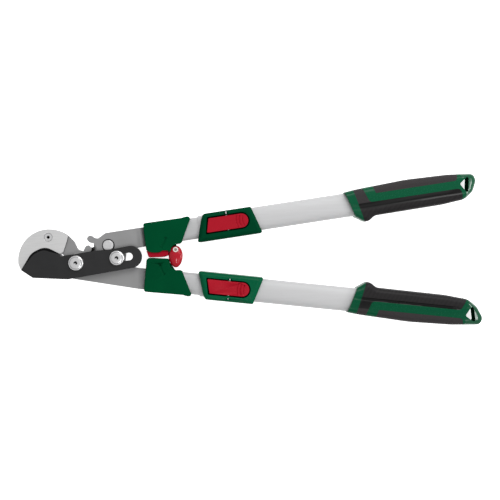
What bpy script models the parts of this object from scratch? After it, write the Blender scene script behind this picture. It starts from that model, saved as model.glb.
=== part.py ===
# Geared bypass lopper with telescopic handles, lying on its back with the jaws shut.
# Lengths are in millimetres and angles in degrees until a mesh is made, which is in metres.
# Head pieces are drawn in the tool frame: origin on the main pivot, X along the line halfway between the
# handles, Y towards the upper handle, Z towards the viewer, zero on the back of the cutting blade.
# Handle pieces are drawn in a handle frame: u runs along the handle, v points outwards.
import math

import bmesh
import bpy
from mathutils import Matrix, Vector

# Driving dimensions: clearances
GAP = 0.3
RUNNING_GAP = 0.6
EDGE_BREAK = 0.4

# Telescopic tubes: oval sections, one sliding in the other
INNER_WIDTH = 31.2
INNER_HEIGHT = 16.4
INNER_WALL = 1.4
INNER_LENGTH = 414.0
OUTER_WALL = 1.5
OUTER_WIDTH = INNER_WIDTH + 2 * (GAP + OUTER_WALL)
OUTER_HEIGHT = INNER_HEIGHT + 2 * (GAP + OUTER_WALL)
DETENT_RADIUS = 3.0
DETENT_PITCH = 60.0
DETENT_COUNT = 5
GLIDE_RIM = 4.0
GLIDE_PLUG = 14.0

# Layers, from the viewer backwards. The tubes' axes lie behind the head's plates
BLADE_THICK = 4.0
INSERT_THICK = 2.4
CARRIER_THICK = 4.0
LOWER_TANG_THICK = 4.0
INSERT_TOP = -GAP
INSERT_BACK = INSERT_TOP - INSERT_THICK
CARRIER_TOP = INSERT_BACK - GAP
CARRIER_BACK = CARRIER_TOP - CARRIER_THICK
LOWER_TANG_TOP = CARRIER_BACK - GAP
LOWER_TANG_BACK = LOWER_TANG_TOP - LOWER_TANG_THICK
AXIS_Z = -12.5
MOULDING_THICK = 6.0
REST_HALF_THICK = OUTER_HEIGHT / 2 + MOULDING_THICK
REST_Z = AXIS_Z - REST_HALF_THICK

# Pivots of the head
GEAR_PIN_X = 44.9
GEAR_PIN_Y = 24.1
SLOT_BOLT_X = 58.4
SLOT_BOLT_Y = 5.7
PIVOT_SHANK_RADIUS = 5.7
PIVOT_HEAD_RADIUS = 10.5
SLOT_SHANK_RADIUS = 4.8
SLOT_HEAD_RADIUS = 10.2
BOLT_HEAD_HEIGHT = 5.2
SOCKET_WIDTH = 7.0
SOCKET_DEPTH = 3.4
GEAR_PIN_RADIUS = 4.5
GEAR_PIN_HEAD_RADIUS = 7.7
CLIP_THICK = 1.2
CLIP_GROOVE = 0.8
NUT_WIDTH = 17.0
NUT_HEIGHT = 7.0
NUT_FLANGE_RADIUS = 11.0
NUT_FLANGE_THICK = 1.6
PIVOT_SPACER_RADIUS = 13.5
SLOT_SPACER_RADIUS = 8.0

# Gear teeth: two equal gears, one on the hook arm and one on the upper tang
PITCH_RADIUS = math.hypot(GEAR_PIN_X, GEAR_PIN_Y) / 2
TOOTH_PITCH = 50.0
TOOTH_HALF_WIDTH = 11.25
TOOTH_LEAD = 23.5
ARM_TOOTH_TIP = PITCH_RADIUS + 4.3
ARM_ROOT = PITCH_RADIUS - 6.9
TANG_TOOTH_TIP = PITCH_RADIUS + 4.7
FINGER_TIP = PITCH_RADIUS + 5.5
TANG_ROOT = PITCH_RADIUS - 5.2

# Blade and hook
BLADE_END_X = 77.6
BLADE_END_Y = 6.7
BLADE_END_RADIUS = 15.9
SLOT_TRAVEL = 18.1
SLOT_INNER = math.hypot(SLOT_BOLT_X, SLOT_BOLT_Y) - 0.7
SLOT_OUTER = SLOT_INNER + SLOT_TRAVEL
SLOT_HALF_HEIGHT = SLOT_SHANK_RADIUS + 0.95
HOOK_X = -40.0
HOOK_Y = 5.0
HOOK_RADIUS = 44.2
INSERT_OVERHANG = 0.4
INSERT_SCREW_X = HOOK_X - 0.4
INSERT_SCREW_Y = HOOK_Y + HOOK_RADIUS - 11.3
INSERT_SCREW_RADIUS = 2.5
INSERT_SCREW_HEAD = 5.6

# Handle axes: they meet at the apex, behind the head
APEX_X = -147.8
APEX_Y = 5.25
HANDLE_ANGLE = 7.255

# Places along a handle, each from the one before
BOSS_START = 246.4
BEND_START = BOSS_START - 8.4
BEND_END = BOSS_START + 12.6
TAIL_START = BEND_END + 5.0
INNER_START = TAIL_START + 2.0
INNER_END = INNER_START + INNER_LENGTH
TANG_PIN_FRONT = INNER_START + 8.0
TANG_PIN_REAR = INNER_START + 25.0
TANG_TAIL_END = INNER_START + 34.0
HOUSING_START = BOSS_START + 76.1
OUTER_START = HOUSING_START + 3.5
OUTER_END = INNER_END + 14.0
CORE_BORE_END = OUTER_END + 3.0

# Tangs
TANG_TAIL_HALF = INNER_WIDTH / 2 - INNER_WALL - 2.2
TANG_OUTER = 12.7
TANG_INNER = -15.4
LOWER_TANG_OUTER = 15.2
LOWER_TANG_INNER = -15.0
TANG_PIN_RADIUS = 2.5

# Bosses and bumper
BOSS_WALL = 2.2
BOSS_BEVEL = 2.8
UPPER_BOSS_BEVEL = 1.0
BOSS_CORNER = BOSS_BEVEL + 0.2
BUMPER_HALF_THICK = 13.0
CLOSING_LINE = 4.4

# Latch
LATCH_U = BOSS_START + 42.1
LATCH_V = -26.3
LATCH_EGG_DROP = 10.2
LATCH_HALF_WIDTH = 9.2
LATCH_HALF_LENGTH = 15.2
LATCH_THICK = 12.0
LATCH_BACK = AXIS_Z + 3.3
LUG_RADIUS = 7.5
LUG_THICK = 7.0
LATCH_SCREW_RADIUS = 2.0
LATCH_SCREW_HEAD = 3.6

# Length lock: housing, rocker, its axle, pin and spring
HOUSING_WALL = 1.9
HOUSING_RISE = 2.0
HOUSING_TOP = AXIS_Z + REST_HALF_THICK + HOUSING_RISE
HOUSING_BEVEL = 2.8
BUTTON_AXLE_U = HOUSING_START + 45.1
BUTTON_SLANT_OUTER = 26.6
BUTTON_SLANT_INNER = 31.6
BUTTON_TAIL = 29.4
BUTTON_OUTER = 11.4
BUTTON_INNER = -8.6
BUTTON_TOP = HOUSING_TOP + 0.5
BUTTON_THICK = 5.2
BUTTON_SURROUND = 0.8
BUTTON_AXLE_Z = BUTTON_TOP - 3.0
BUTTON_AXLE_RADIUS = 1.3
BUTTON_AXLE_HALF = 15.0
LOCK_PIN_U = BUTTON_AXLE_U - 21.6
LOCK_PIN_RADIUS = 2.3
LOCK_PIN_SEAT = BUTTON_TOP - 3.4
SPRING_U = BUTTON_AXLE_U + 19.4
SPRING_RADIUS = 3.0
SPRING_WIRE = 0.4
SPRING_TURNS = 3
SPRING_SEAT = 1.6

# Grip
GRIP_BEVEL = 8.0
PAD_DEPTH = 1.7
PAD_GAP = 0.3

ARC_STEP = 18.0
MILLIMETRE = 0.001

for old in list(bpy.data.objects):
    bpy.data.objects.remove(old, do_unlink=True)

parts = bpy.data.collections.new("lopper")
cutters = bpy.data.collections.new("cutters")
bpy.context.scene.collection.children.link(parts)
bpy.context.scene.collection.children.link(cutters)


# Materials

def finish(name, colour, roughness, metallic=0.0):
    material = bpy.data.materials.new(name)
    material.use_nodes = True
    shader = material.node_tree.nodes["Principled BSDF"]
    shader.inputs["Base Color"].default_value = (*colour, 1.0)
    shader.inputs["Roughness"].default_value = roughness
    shader.inputs["Metallic"].default_value = metallic
    return material


BLACK_STEEL = ("black_coated_steel", (0.028, 0.028, 0.029), 0.42, 0.6)
GREY_STEEL = ("grey_steel", (0.26, 0.26, 0.27), 0.38, 0.9)
BRUSHED_STEEL = ("brushed_steel", (0.56, 0.56, 0.57), 0.3, 1.0)
BRIGHT_STEEL = ("zinc_plated_steel", (0.66, 0.66, 0.68), 0.25, 1.0)
ALUMINIUM = ("satin_aluminium", (0.58, 0.58, 0.59), 0.4, 1.0)
GREEN_PLASTIC = ("green_plastic", (0.004, 0.075, 0.038), 0.4, 0.0)
GRIP_GREEN = ("grip_green_plastic", (0.012, 0.15, 0.07), 0.42, 0.0)
RED_PLASTIC = ("red_plastic", (0.42, 0.012, 0.022), 0.38, 0.0)
BLACK_RUBBER = ("black_soft_grip", (0.018, 0.018, 0.019), 0.6, 0.0)
CHARCOAL_RUBBER = ("charcoal_soft_grip", (0.035, 0.034, 0.035), 0.7, 0.0)
GLIDE_PLASTIC = ("black_acetal", (0.02, 0.02, 0.02), 0.35, 0.0)


# Frames: an empty on the axis of each thing that moves

def empty(name, parent=None, location=(0, 0, 0), turn=0.0):
    frame = bpy.data.objects.new(name, None)
    frame.empty_display_size = 0.02
    bpy.context.scene.collection.objects.link(frame)
    frame.parent = parent
    frame.location = [value * MILLIMETRE for value in location]
    frame.rotation_euler = (0, 0, math.radians(turn))
    return frame


def from_handle(u, v, side):
    """A handle frame point in the tool frame."""
    turn = math.radians(HANDLE_ANGLE * side)
    y = v * side
    x_off = u * math.cos(turn) - y * math.sin(turn)
    y_off = u * math.sin(turn) + y * math.cos(turn)
    return (APEX_X + x_off, APEX_Y + y_off)


LATCH_X, LATCH_Y = from_handle(LATCH_U, LATCH_V, 1)
tool_frame = empty("tool_frame")
blade_axis = empty("blade_axis", tool_frame)
hook_axis = empty("hook_axis", tool_frame)
tang_axis = empty("upper_tang_axis", tool_frame, (GEAR_PIN_X, GEAR_PIN_Y, 0))
latch_axis = empty("latch_axis", tang_axis, (LATCH_X - GEAR_PIN_X, LATCH_Y - GEAR_PIN_Y, 0))
handle_frames = {
    1: empty("upper_handle_frame", tang_axis, (APEX_X - GEAR_PIN_X, APEX_Y - GEAR_PIN_Y, 0), HANDLE_ANGLE),
    -1: empty("lower_handle_frame", tool_frame, (APEX_X, APEX_Y, 0), -HANDLE_ANGLE),
}
slide_frames = {side: empty(prefix + "slide_frame", handle_frames[side])
                for side, prefix in ((1, "upper_"), (-1, "lower_"))}
button_frames = {side: empty(prefix + "button_axis", slide_frames[side], (BUTTON_AXLE_U, 0, BUTTON_AXLE_Z))
                 for side, prefix in ((1, "upper_"), (-1, "lower_"))}
PREFIX = {1: "upper_", -1: "lower_"}


# Outlines

def arc(x, y, radius, start, end, step=ARC_STEP):
    """Points on an arc, both ends included."""
    count = max(1, round(abs(end - start) / step))
    turns = [math.radians(start + (end - start) * i / count) for i in range(count + 1)]
    return [(x + radius * math.cos(t), y + radius * math.sin(t)) for t in turns]


def rounded(corners):
    """A closed outline from corners (x, y) or (x, y, fillet radius)."""
    points = []
    for i, corner in enumerate(corners):
        here = Vector(corner[:2])
        radius = corner[2] if len(corner) > 2 else 0.0
        before = Vector(corners[i - 1][:2]) - here
        after = Vector(corners[(i + 1) % len(corners)][:2]) - here
        angle = before.angle(after, 0.0)
        if radius <= 0.0 or angle < 0.01 or math.pi - angle < 0.01:
            points.append(tuple(here))
            continue
        reach = radius / math.tan(angle / 2)
        halfway = (before.normalized() + after.normalized()).normalized()
        middle = here + halfway * (radius / math.sin(angle / 2))
        first = here + before.normalized() * reach - middle
        last = here + after.normalized() * reach - middle
        sweep = math.atan2(first.x * last.y - first.y * last.x, first.dot(last))
        start = math.degrees(math.atan2(first.y, first.x))
        points += arc(middle.x, middle.y, radius, start, start + math.degrees(sweep))
    return points


def circle(x, y, radius, sides=24):
    return arc(x, y, radius, 0, 360 - 360 / sides, 360 / sides)


def stadium(width, height):
    """An oval tube's section: two half circles joined by flats."""
    flat = (width - height) / 2
    return arc(flat, 0, height / 2, -90, 90) + arc(-flat, 0, height / 2, 90, 270)


def slot(x, y, start, end, half, turn):
    """A slot along a ray from (x, y), from one distance to another."""
    ahead = Vector((math.cos(math.radians(turn)), math.sin(math.radians(turn))))
    near = Vector((x, y)) + ahead * start
    far = Vector((x, y)) + ahead * end
    return arc(far.x, far.y, half, turn - 90, turn + 90) + arc(near.x, near.y, half, turn + 90, turn + 270)


def outward(points, side):
    """Handle points (u, v, ...) as local points, with v turned to the handle's outer side."""
    return [(p[0], p[1] * side, *p[2:]) for p in points]


def turning(points):
    """Twice the signed area of an outline, positive when it runs anticlockwise."""
    return sum(a[0] * b[1] - b[0] * a[1] for a, b in zip(points, points[1:] + points[:1]))


# Solids

def flat(name, outlines, low, high, material, parent, offset=(0, 0),
         bevel=0.0, inset=0.0, steps=0, keep=True):
    """A plate or block: the first outline filled between two heights, the others as holes in it."""
    curve = bpy.data.curves.new(name, "CURVE")
    curve.dimensions = "2D"
    curve.fill_mode = "BOTH"
    curve.extrude = ((high - low) / 2 - bevel) * MILLIMETRE
    curve.bevel_depth = bevel * MILLIMETRE
    curve.bevel_resolution = steps
    curve.offset = -(bevel + inset) * MILLIMETRE
    for number, outline in enumerate(outlines):
        anticlockwise = turning(outline) > 0
        points = outline if anticlockwise == (number == 0) else outline[::-1]
        spline = curve.splines.new("POLY")
        spline.points.add(len(points) - 1)
        for point, (x, y) in zip(spline.points, points):
            point.co = (x * MILLIMETRE, y * MILLIMETRE, 0, 1)
        spline.use_cyclic_u = True
    drawn = bpy.data.objects.new(name, curve)
    parts.objects.link(drawn)
    bpy.context.view_layer.update()
    mesh = bpy.data.meshes.new_from_object(drawn.evaluated_get(bpy.context.evaluated_depsgraph_get()))
    bpy.data.objects.remove(drawn)
    mesh.transform(Matrix.Translation((0, 0, (low + high) / 2 * MILLIMETRE)))
    return solid(name, mesh, material, parent, offset, keep)


def solid(name, mesh, material, parent, offset=(0, 0), keep=True):
    """A closed mesh as a part, or as a cutter where keep is false."""
    shape = bmesh.new()
    shape.from_mesh(mesh)
    bmesh.ops.remove_doubles(shape, verts=shape.verts, dist=0.00001)
    bmesh.ops.recalc_face_normals(shape, faces=shape.faces)
    if shape.calc_volume(signed=True) < 0:
        bmesh.ops.reverse_faces(shape, faces=shape.faces)
    shape.to_mesh(mesh)
    shape.free()
    thing = bpy.data.objects.new(name, mesh)
    (parts if keep else cutters).objects.link(thing)
    thing.parent = parent
    thing.location = (offset[0] * MILLIMETRE, offset[1] * MILLIMETRE, 0)
    if keep:
        mesh.materials.clear()
        mesh.materials.append(finish(name + "_finish", *material[1:]))
        mesh.shade_smooth()
        mesh.set_sharp_from_angle(angle=math.radians(30))
    else:
        thing.hide_render = True
        thing.display_type = "WIRE"
    return thing


def bar(name, outlines, start, end, material, parent, height=AXIS_Z, keep=True):
    """A section drawn across a handle, filled from one place along it to another."""
    drawn = flat(name, outlines, start, end, material, parent, keep=keep)
    drawn.data.transform(Matrix(((0, 0, 1, 0), (1, 0, 0, 0), (0, 1, 0, height * MILLIMETRE), (0, 0, 0, 1))))
    return drawn


def turned(name, profile, material, parent, offset=(0, 0), sides=24, keep=True):
    """A turned piece: (radius, height) points down its outer side, from the axis back to the axis."""
    mesh = bpy.data.meshes.new(name)
    points = [(radius * MILLIMETRE, 0, height * MILLIMETRE) for radius, height in profile]
    mesh.from_pydata(points, [(i, i + 1) for i in range(len(points) - 1)], [])
    drawn = bpy.data.objects.new(name, mesh)
    parts.objects.link(drawn)
    screw = drawn.modifiers.new("turn", "SCREW")
    screw.steps = sides
    screw.render_steps = sides
    screw.use_merge_vertices = True
    screw.merge_threshold = 0.00001
    bpy.context.view_layer.update()
    spun = bpy.data.meshes.new_from_object(drawn.evaluated_get(bpy.context.evaluated_depsgraph_get()))
    bpy.data.objects.remove(drawn)
    return solid(name, spun, material, parent, offset, keep)


def combine(target, other, operation):
    boolean = target.modifiers.new(operation.lower(), "BOOLEAN")
    boolean.operation = operation
    boolean.solver = "EXACT"
    boolean.object = other
    return target


def cut(target, cutter):
    return combine(target, cutter, "DIFFERENCE")


def join(target, other):
    return combine(target, other, "UNION")


def keep_inside(target, other):
    return combine(target, other, "INTERSECT")


# Gear teeth: radial flanks below the pitch circle and epicycloids above it, so equal gears roll truly

LINE_OF_CENTRES = math.degrees(math.atan2(GEAR_PIN_Y, GEAR_PIN_X))


def tooth(x, y, middle, tip, root):
    """One tooth, anticlockwise about (x, y), from its flank's foot to the other flank's foot."""
    rolling = PITCH_RADIUS / 2
    arm = PITCH_RADIUS + rolling
    most = math.acos((arm ** 2 + rolling ** 2 - tip ** 2) / (2 * arm * rolling)) / 2
    flank = [(root, TOOTH_HALF_WIDTH), (PITCH_RADIUS, TOOTH_HALF_WIDTH)]
    for step in range(1, 5):
        roll = most * math.sqrt(step / 4)
        px = arm * math.cos(roll) - rolling * math.cos(3 * roll)
        py = arm * math.sin(roll) - rolling * math.sin(3 * roll)
        flank.append((math.hypot(px, py), TOOTH_HALF_WIDTH - math.degrees(math.atan2(py, px))))
    flank[-1] = (tip - 0.6, flank[-2][1] - 1.2)
    flank.append((tip, flank[-1][1] - 1.6))
    both = [(r, middle - half) for r, half in flank] + [(r, middle + half) for r, half in reversed(flank)]
    return [(x + r * math.cos(math.radians(a)), y + r * math.sin(math.radians(a))) for r, a in both]


# Cutting blade, on the main pivot and driven by the slot bolt

SLOT_TURN = math.degrees(math.atan2(SLOT_BOLT_Y, SLOT_BOLT_X))
blade_outline = rounded([
    (-78.2, -8.8, 1.0), (-67.0, -17.7, 16.0), (-13.0, -22.2, 40.0),
    *arc(BLADE_END_X, BLADE_END_Y, BLADE_END_RADIUS, -75, 98),
    (50.0, 18.2, 30.0), (26.0, 16.8, 30.0), (-3.0, 12.6, 30.0), (-17.0, 10.9, 3.0), (-21.8, 9.5, 1.0),
    (-23.9, 13.5, 1.0), (-45.4, 24.9, 19.0), (-65.6, 15.6, 24.0),
])
cutting_blade = flat(
    "cutting_blade",
    [blade_outline, circle(0, 0, PIVOT_SHANK_RADIUS + GAP),
     slot(0, 0, SLOT_INNER, SLOT_OUTER, SLOT_HALF_HEIGHT, SLOT_TURN)],
    0, BLADE_THICK, BLACK_STEEL, blade_axis, bevel=EDGE_BREAK)


# Hook arm with one gear tooth, and the counter edge screwed on it

mesh_angle = LINE_OF_CENTRES + TOOTH_LEAD


def at(x, y, corners):
    """Corners given from a point (x, y)."""
    return [(x + corner[0], y + corner[1], *corner[2:]) for corner in corners]


hook_inside = at(HOOK_X, HOOK_Y, [
    (-31.0, -7.4, 18.0), (-22.0, 4.8, 18.0), (-10.0, 12.4, 14.0), (2.0, 11.4, 16.0), (13.0, 2.6, 9.0)])
hook_carrier = flat(
    "hook_carrier",
    [rounded([
        *arc(HOOK_X, HOOK_Y, HOOK_RADIUS, 52.0, 186.0, 9),
        *at(HOOK_X, HOOK_Y, [(1.6 - HOOK_RADIUS, -13.6, 3.0), (7.2 - HOOK_RADIUS, -16.8, 1.5)]),
        *hook_inside,
        *arc(0, 0, ARM_ROOT, 190, 360 + mesh_angle - TOOTH_HALF_WIDTH - 2),
        *tooth(0, 0, mesh_angle, ARM_TOOTH_TIP, ARM_ROOT),
        *arc(0, 0, ARM_ROOT, mesh_angle + TOOTH_HALF_WIDTH + 2, 84),
        (-0.6, 22.4, 6.0), (-3.9, 30.6, 10.0)]),
     circle(0, 0, PIVOT_SHANK_RADIUS + GAP),
     circle(INSERT_SCREW_X, INSERT_SCREW_Y, INSERT_SCREW_RADIUS + GAP, 16)],
    CARRIER_BACK, CARRIER_TOP, GREY_STEEL, hook_axis, bevel=EDGE_BREAK)

hook_insert = flat(
    "hook_insert",
    [rounded([
        *arc(HOOK_X, HOOK_Y, HOOK_RADIUS + INSERT_OVERHANG, 50.0, 186.0, 9),
        *at(HOOK_X, HOOK_Y, [(1.0 - HOOK_RADIUS, -13.4, 3.0), (6.8 - HOOK_RADIUS, -16.0, 1.5)]),
        *at(0, 0.9, hook_inside[:-1]),
        *at(HOOK_X, HOOK_Y, [(12.4, 5.0, 3.0), (17.4, 9.2, 2.0), (21.4, 11.6, 3.0), (26.6, 26.5, 20.0)])])],
    INSERT_BACK, INSERT_TOP, BRUSHED_STEEL, hook_axis, bevel=EDGE_BREAK)

insert_screw = turned(
    "insert_screw",
    [(0, INSERT_TOP - 0.1), (INSERT_SCREW_HEAD, INSERT_TOP - 0.1), (INSERT_SCREW_HEAD, INSERT_TOP - 0.5),
     (INSERT_SCREW_RADIUS, INSERT_BACK + 0.2), (INSERT_SCREW_RADIUS, CARRIER_BACK + GAP),
     (0, CARRIER_BACK + GAP)],
    BRIGHT_STEEL, hook_axis, (INSERT_SCREW_X, INSERT_SCREW_Y))
screw_sink = turned(
    "insert_screw_sink",
    [(0, INSERT_TOP + 1), (INSERT_SCREW_HEAD + GAP, INSERT_TOP + 1),
     (INSERT_SCREW_HEAD + GAP, INSERT_TOP - 0.6),
     (INSERT_SCREW_RADIUS + GAP, INSERT_BACK + 0.1), (INSERT_SCREW_RADIUS + GAP, INSERT_BACK - 1),
     (0, INSERT_BACK - 1)],
    None, hook_axis, (INSERT_SCREW_X, INSERT_SCREW_Y), keep=False)
cut(hook_insert, screw_sink)


# Tangs: the flat steel ends of the handles, cranked back into the tubes

def crank(tang, side, drop):
    """Bends a tang back by drop between the bend's two lines across the handle."""
    turn = math.radians(HANDLE_ANGLE * side)
    along = Vector((math.cos(turn), math.sin(turn), 0))
    apex = Vector((APEX_X, APEX_Y, 0)) * MILLIMETRE
    shape = bmesh.new()
    shape.from_mesh(tang.data)
    for place in (BEND_START, BEND_END):
        everything = shape.verts[:] + shape.edges[:] + shape.faces[:]
        bmesh.ops.bisect_plane(shape, geom=everything, plane_co=apex + along * place * MILLIMETRE,
                               plane_no=along, dist=0.0000001)
    for vert in shape.verts:
        place = (vert.co - apex).dot(along) / MILLIMETRE
        share = min(max((place - BEND_START) / (BEND_END - BEND_START), 0), 1)
        vert.co.z -= drop * share * MILLIMETRE
    shape.to_mesh(tang.data)
    shape.free()


def tail(side, outer, inner, clearance=0.0):
    """The tang's end in the tool frame, from outside the boss to inside the tube."""
    half = TANG_TAIL_HALF + clearance
    ends = [(BEND_START, outer + clearance), (BEND_END, outer + clearance), (TAIL_START, half),
            (TANG_TAIL_END + clearance, half), (TANG_TAIL_END + clearance, -half), (TAIL_START, -half),
            (BEND_END, inner - clearance), (BEND_START, inner - clearance)]
    return [from_handle(u, v, side) for u, v in ends]


UPPER_DROP = (CARRIER_BACK + CARRIER_TOP) / 2 - AXIS_Z
LOWER_DROP = (LOWER_TANG_BACK + LOWER_TANG_TOP) / 2 - AXIS_Z
TANG = {
    1: (TANG_OUTER, TANG_INNER, CARRIER_BACK, CARRIER_TOP, UPPER_DROP),
    -1: (LOWER_TANG_OUTER, LOWER_TANG_INNER, LOWER_TANG_BACK, LOWER_TANG_TOP, LOWER_DROP),
}
tang_mesh_angle = LINE_OF_CENTRES + 180 - TOOTH_LEAD
finger_angle = tang_mesh_angle - TOOTH_PITCH / 2
second_angle = tang_mesh_angle + TOOTH_PITCH / 2


def pin_holes(side):
    return [circle(*from_handle(u, 0, side), TANG_PIN_RADIUS + GAP, 12)
            for u in (TANG_PIN_FRONT, TANG_PIN_REAR)]


upper_tang = flat(
    "upper_tang",
    [rounded([
        *tooth(GEAR_PIN_X, GEAR_PIN_Y, finger_angle, FINGER_TIP, TANG_ROOT),
        *arc(GEAR_PIN_X, GEAR_PIN_Y, TANG_ROOT, finger_angle + TOOTH_HALF_WIDTH + 2,
             second_angle - TOOTH_HALF_WIDTH - 2, 9),
        *tooth(GEAR_PIN_X, GEAR_PIN_Y, second_angle, TANG_TOOTH_TIP, TANG_ROOT),
        *at(SLOT_BOLT_X, SLOT_BOLT_Y, [
            (-23.4, 1.9, 5.0), (-9.8, -11.1, 9.0), (9.2, -10.9, 7.0), (12.3, 10.9, 3.0)]),
        *tail(1, TANG_OUTER, TANG_INNER)[::-1],
        *at(GEAR_PIN_X, GEAR_PIN_Y, [(-3.9, 17.9, 4.0), (-14.5, 10.5, 3.0)])]),
     circle(GEAR_PIN_X, GEAR_PIN_Y, GEAR_PIN_RADIUS + GAP),
     circle(SLOT_BOLT_X, SLOT_BOLT_Y, SLOT_SHANK_RADIUS + GAP)] + pin_holes(1),
    CARRIER_BACK, CARRIER_TOP, GREY_STEEL, tang_axis, (-GEAR_PIN_X, -GEAR_PIN_Y), bevel=EDGE_BREAK)
crank(upper_tang, 1, UPPER_DROP)

lower_tang = flat(
    "lower_tang",
    [rounded([
        (-17.0, -21.2, 13.0), (-17.0, 13.0, 12.0), (17.0, 12.6, 8.0),
        *at(GEAR_PIN_X, GEAR_PIN_Y, [
            (-14.3, -8.5, 5.0), (-12.9, 12.5, 10.0), (12.7, 12.5, 10.0), (15.5, -27.1, 10.0)]),
        (80.5, -8.4, 12.0),
        *tail(-1, LOWER_TANG_OUTER, LOWER_TANG_INNER)[::-1]]),
     circle(0, 0, PIVOT_SHANK_RADIUS + GAP),
     circle(GEAR_PIN_X, GEAR_PIN_Y, GEAR_PIN_RADIUS + GAP)] + pin_holes(-1),
    LOWER_TANG_BACK, LOWER_TANG_TOP, GREY_STEEL, tool_frame, bevel=EDGE_BREAK)
crank(lower_tang, -1, LOWER_DROP)


# Bolts, pins, nut and spacers of the head

def socket_bolt(name, shank, head, bottom, parent, offset):
    seat = BLADE_THICK + GAP
    top = seat + BOLT_HEAD_HEIGHT
    bolt = turned(
        name,
        [(0, top), (head * 0.56, top), (head * 0.62, top - 0.6), (head * 0.86, top - 0.9), (head, top - 2.0),
         (head, seat), (shank, seat), (shank, bottom + 0.5), (shank - 0.5, bottom), (0, bottom)],
        BRIGHT_STEEL, parent, offset)
    hexagon = rounded([(SOCKET_WIDTH / math.sqrt(3) * math.cos(math.radians(60 * i)),
                        SOCKET_WIDTH / math.sqrt(3) * math.sin(math.radians(60 * i))) for i in range(6)])
    socket = flat(name + "_socket", [hexagon], top - SOCKET_DEPTH, top + 1, None, parent, offset, keep=False)
    return cut(bolt, socket)


nut_top = LOWER_TANG_BACK - GAP
nut_bottom = nut_top - NUT_HEIGHT
pivot_bolt = socket_bolt("pivot_bolt", PIVOT_SHANK_RADIUS, PIVOT_HEAD_RADIUS, nut_bottom - 1.0,
                         tool_frame, (0, 0))
slot_bolt = socket_bolt("slot_bolt", SLOT_SHANK_RADIUS, SLOT_HEAD_RADIUS, CARRIER_BACK, tang_axis,
                        (SLOT_BOLT_X - GEAR_PIN_X, SLOT_BOLT_Y - GEAR_PIN_Y))

pivot_spacer = flat(
    "pivot_spacer", [circle(0, 0, PIVOT_SPACER_RADIUS), circle(0, 0, PIVOT_SHANK_RADIUS + GAP)],
    INSERT_BACK, INSERT_TOP, BRIGHT_STEEL, tool_frame)
slot_spacer = flat(
    "slot_spacer", [circle(0, 0, SLOT_SPACER_RADIUS), circle(0, 0, SLOT_SHANK_RADIUS + GAP)],
    INSERT_BACK, INSERT_TOP, BRIGHT_STEEL, tang_axis, (SLOT_BOLT_X - GEAR_PIN_X, SLOT_BOLT_Y - GEAR_PIN_Y))

pivot_nut = turned(
    "pivot_nut",
    [(PIVOT_SHANK_RADIUS + GAP, nut_top), (NUT_FLANGE_RADIUS, nut_top),
     (NUT_FLANGE_RADIUS, nut_top - NUT_FLANGE_THICK), (NUT_WIDTH / 2 - 0.4, nut_top - NUT_FLANGE_THICK - 0.6),
     (NUT_WIDTH / 2 - 0.4, nut_bottom), (PIVOT_SHANK_RADIUS + GAP, nut_bottom),
     (PIVOT_SHANK_RADIUS + GAP, nut_top)],
    BRIGHT_STEEL, tool_frame)
nut_hexagon = flat(
    "pivot_nut_hexagon",
    [[(NUT_WIDTH / math.sqrt(3) * math.cos(math.radians(60 * i)),
       NUT_WIDTH / math.sqrt(3) * math.sin(math.radians(60 * i))) for i in range(6)],
     circle(0, 0, PIVOT_SHANK_RADIUS + GAP)],
    nut_bottom, nut_top - NUT_FLANGE_THICK / 2, None, tool_frame, keep=False)
join(pivot_nut, nut_hexagon)

clip_top = LOWER_TANG_BACK - GAP
gear_pin = turned(
    "gear_pin",
    [(0, INSERT_TOP - 0.2), (GEAR_PIN_HEAD_RADIUS - 0.6, INSERT_TOP - 0.2),
     (GEAR_PIN_HEAD_RADIUS, INSERT_TOP - 0.8), (GEAR_PIN_HEAD_RADIUS, INSERT_BACK),
     (GEAR_PIN_RADIUS, INSERT_BACK),
     (GEAR_PIN_RADIUS, clip_top), (GEAR_PIN_RADIUS - CLIP_GROOVE, clip_top),
     (GEAR_PIN_RADIUS - CLIP_GROOVE, clip_top - CLIP_THICK - GAP),
     (GEAR_PIN_RADIUS, clip_top - CLIP_THICK - GAP),
     (GEAR_PIN_RADIUS, clip_top - CLIP_THICK - 1.2), (GEAR_PIN_RADIUS - 0.5, clip_top - CLIP_THICK - 1.7),
     (0, clip_top - CLIP_THICK - 1.7)],
    BRIGHT_STEEL, tool_frame, (GEAR_PIN_X, GEAR_PIN_Y))
clip_hole = GEAR_PIN_RADIUS - CLIP_GROOVE + GAP
gear_pin_clip = flat(
    "gear_pin_clip",
    [arc(0, 0, GEAR_PIN_HEAD_RADIUS, 25, 335) + arc(0, 0, clip_hole, 325, 35)],
    clip_top - CLIP_THICK, clip_top - GAP / 2, BRIGHT_STEEL, tool_frame, (GEAR_PIN_X, GEAR_PIN_Y))


# Handles: the same pieces for both, mirrored

def boss(side):
    """The moulded knuckle round tang and tube. The upper one is hollowed for the bumper."""
    wall = INNER_WIDTH / 2 + BOSS_WALL
    shared = [(0.0, wall, BOSS_CORNER), (55.6, wall - 0.8, 8.0), (63.0, wall + 0.2, BOSS_CORNER),
              (68.6, wall - 1.2, BOSS_CORNER), (51.6, -wall - 1.0, BOSS_CORNER), (42.4, -wall - 0.2, 5.0),
              (34.6, -22.4, 6.0)]
    if side > 0:
        inner = [(31.0, -26.2, 1.5), (23.6, -25.0, 3.0), (18.2, -26.9, 6.0), (10.8, -26.2, 6.0),
                 (4.6, -24.2, 3.0), (0.0, -20.6, 1.0)]
    else:
        inner = [(29.4, -32.6, BOSS_CORNER), (1.8, -30.6, BOSS_CORNER), (-0.8, -27.8, BOSS_CORNER)]
    return outward(at(BOSS_START, 0, shared + inner), side)


LUG_TOP = LATCH_BACK - GAP


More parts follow.
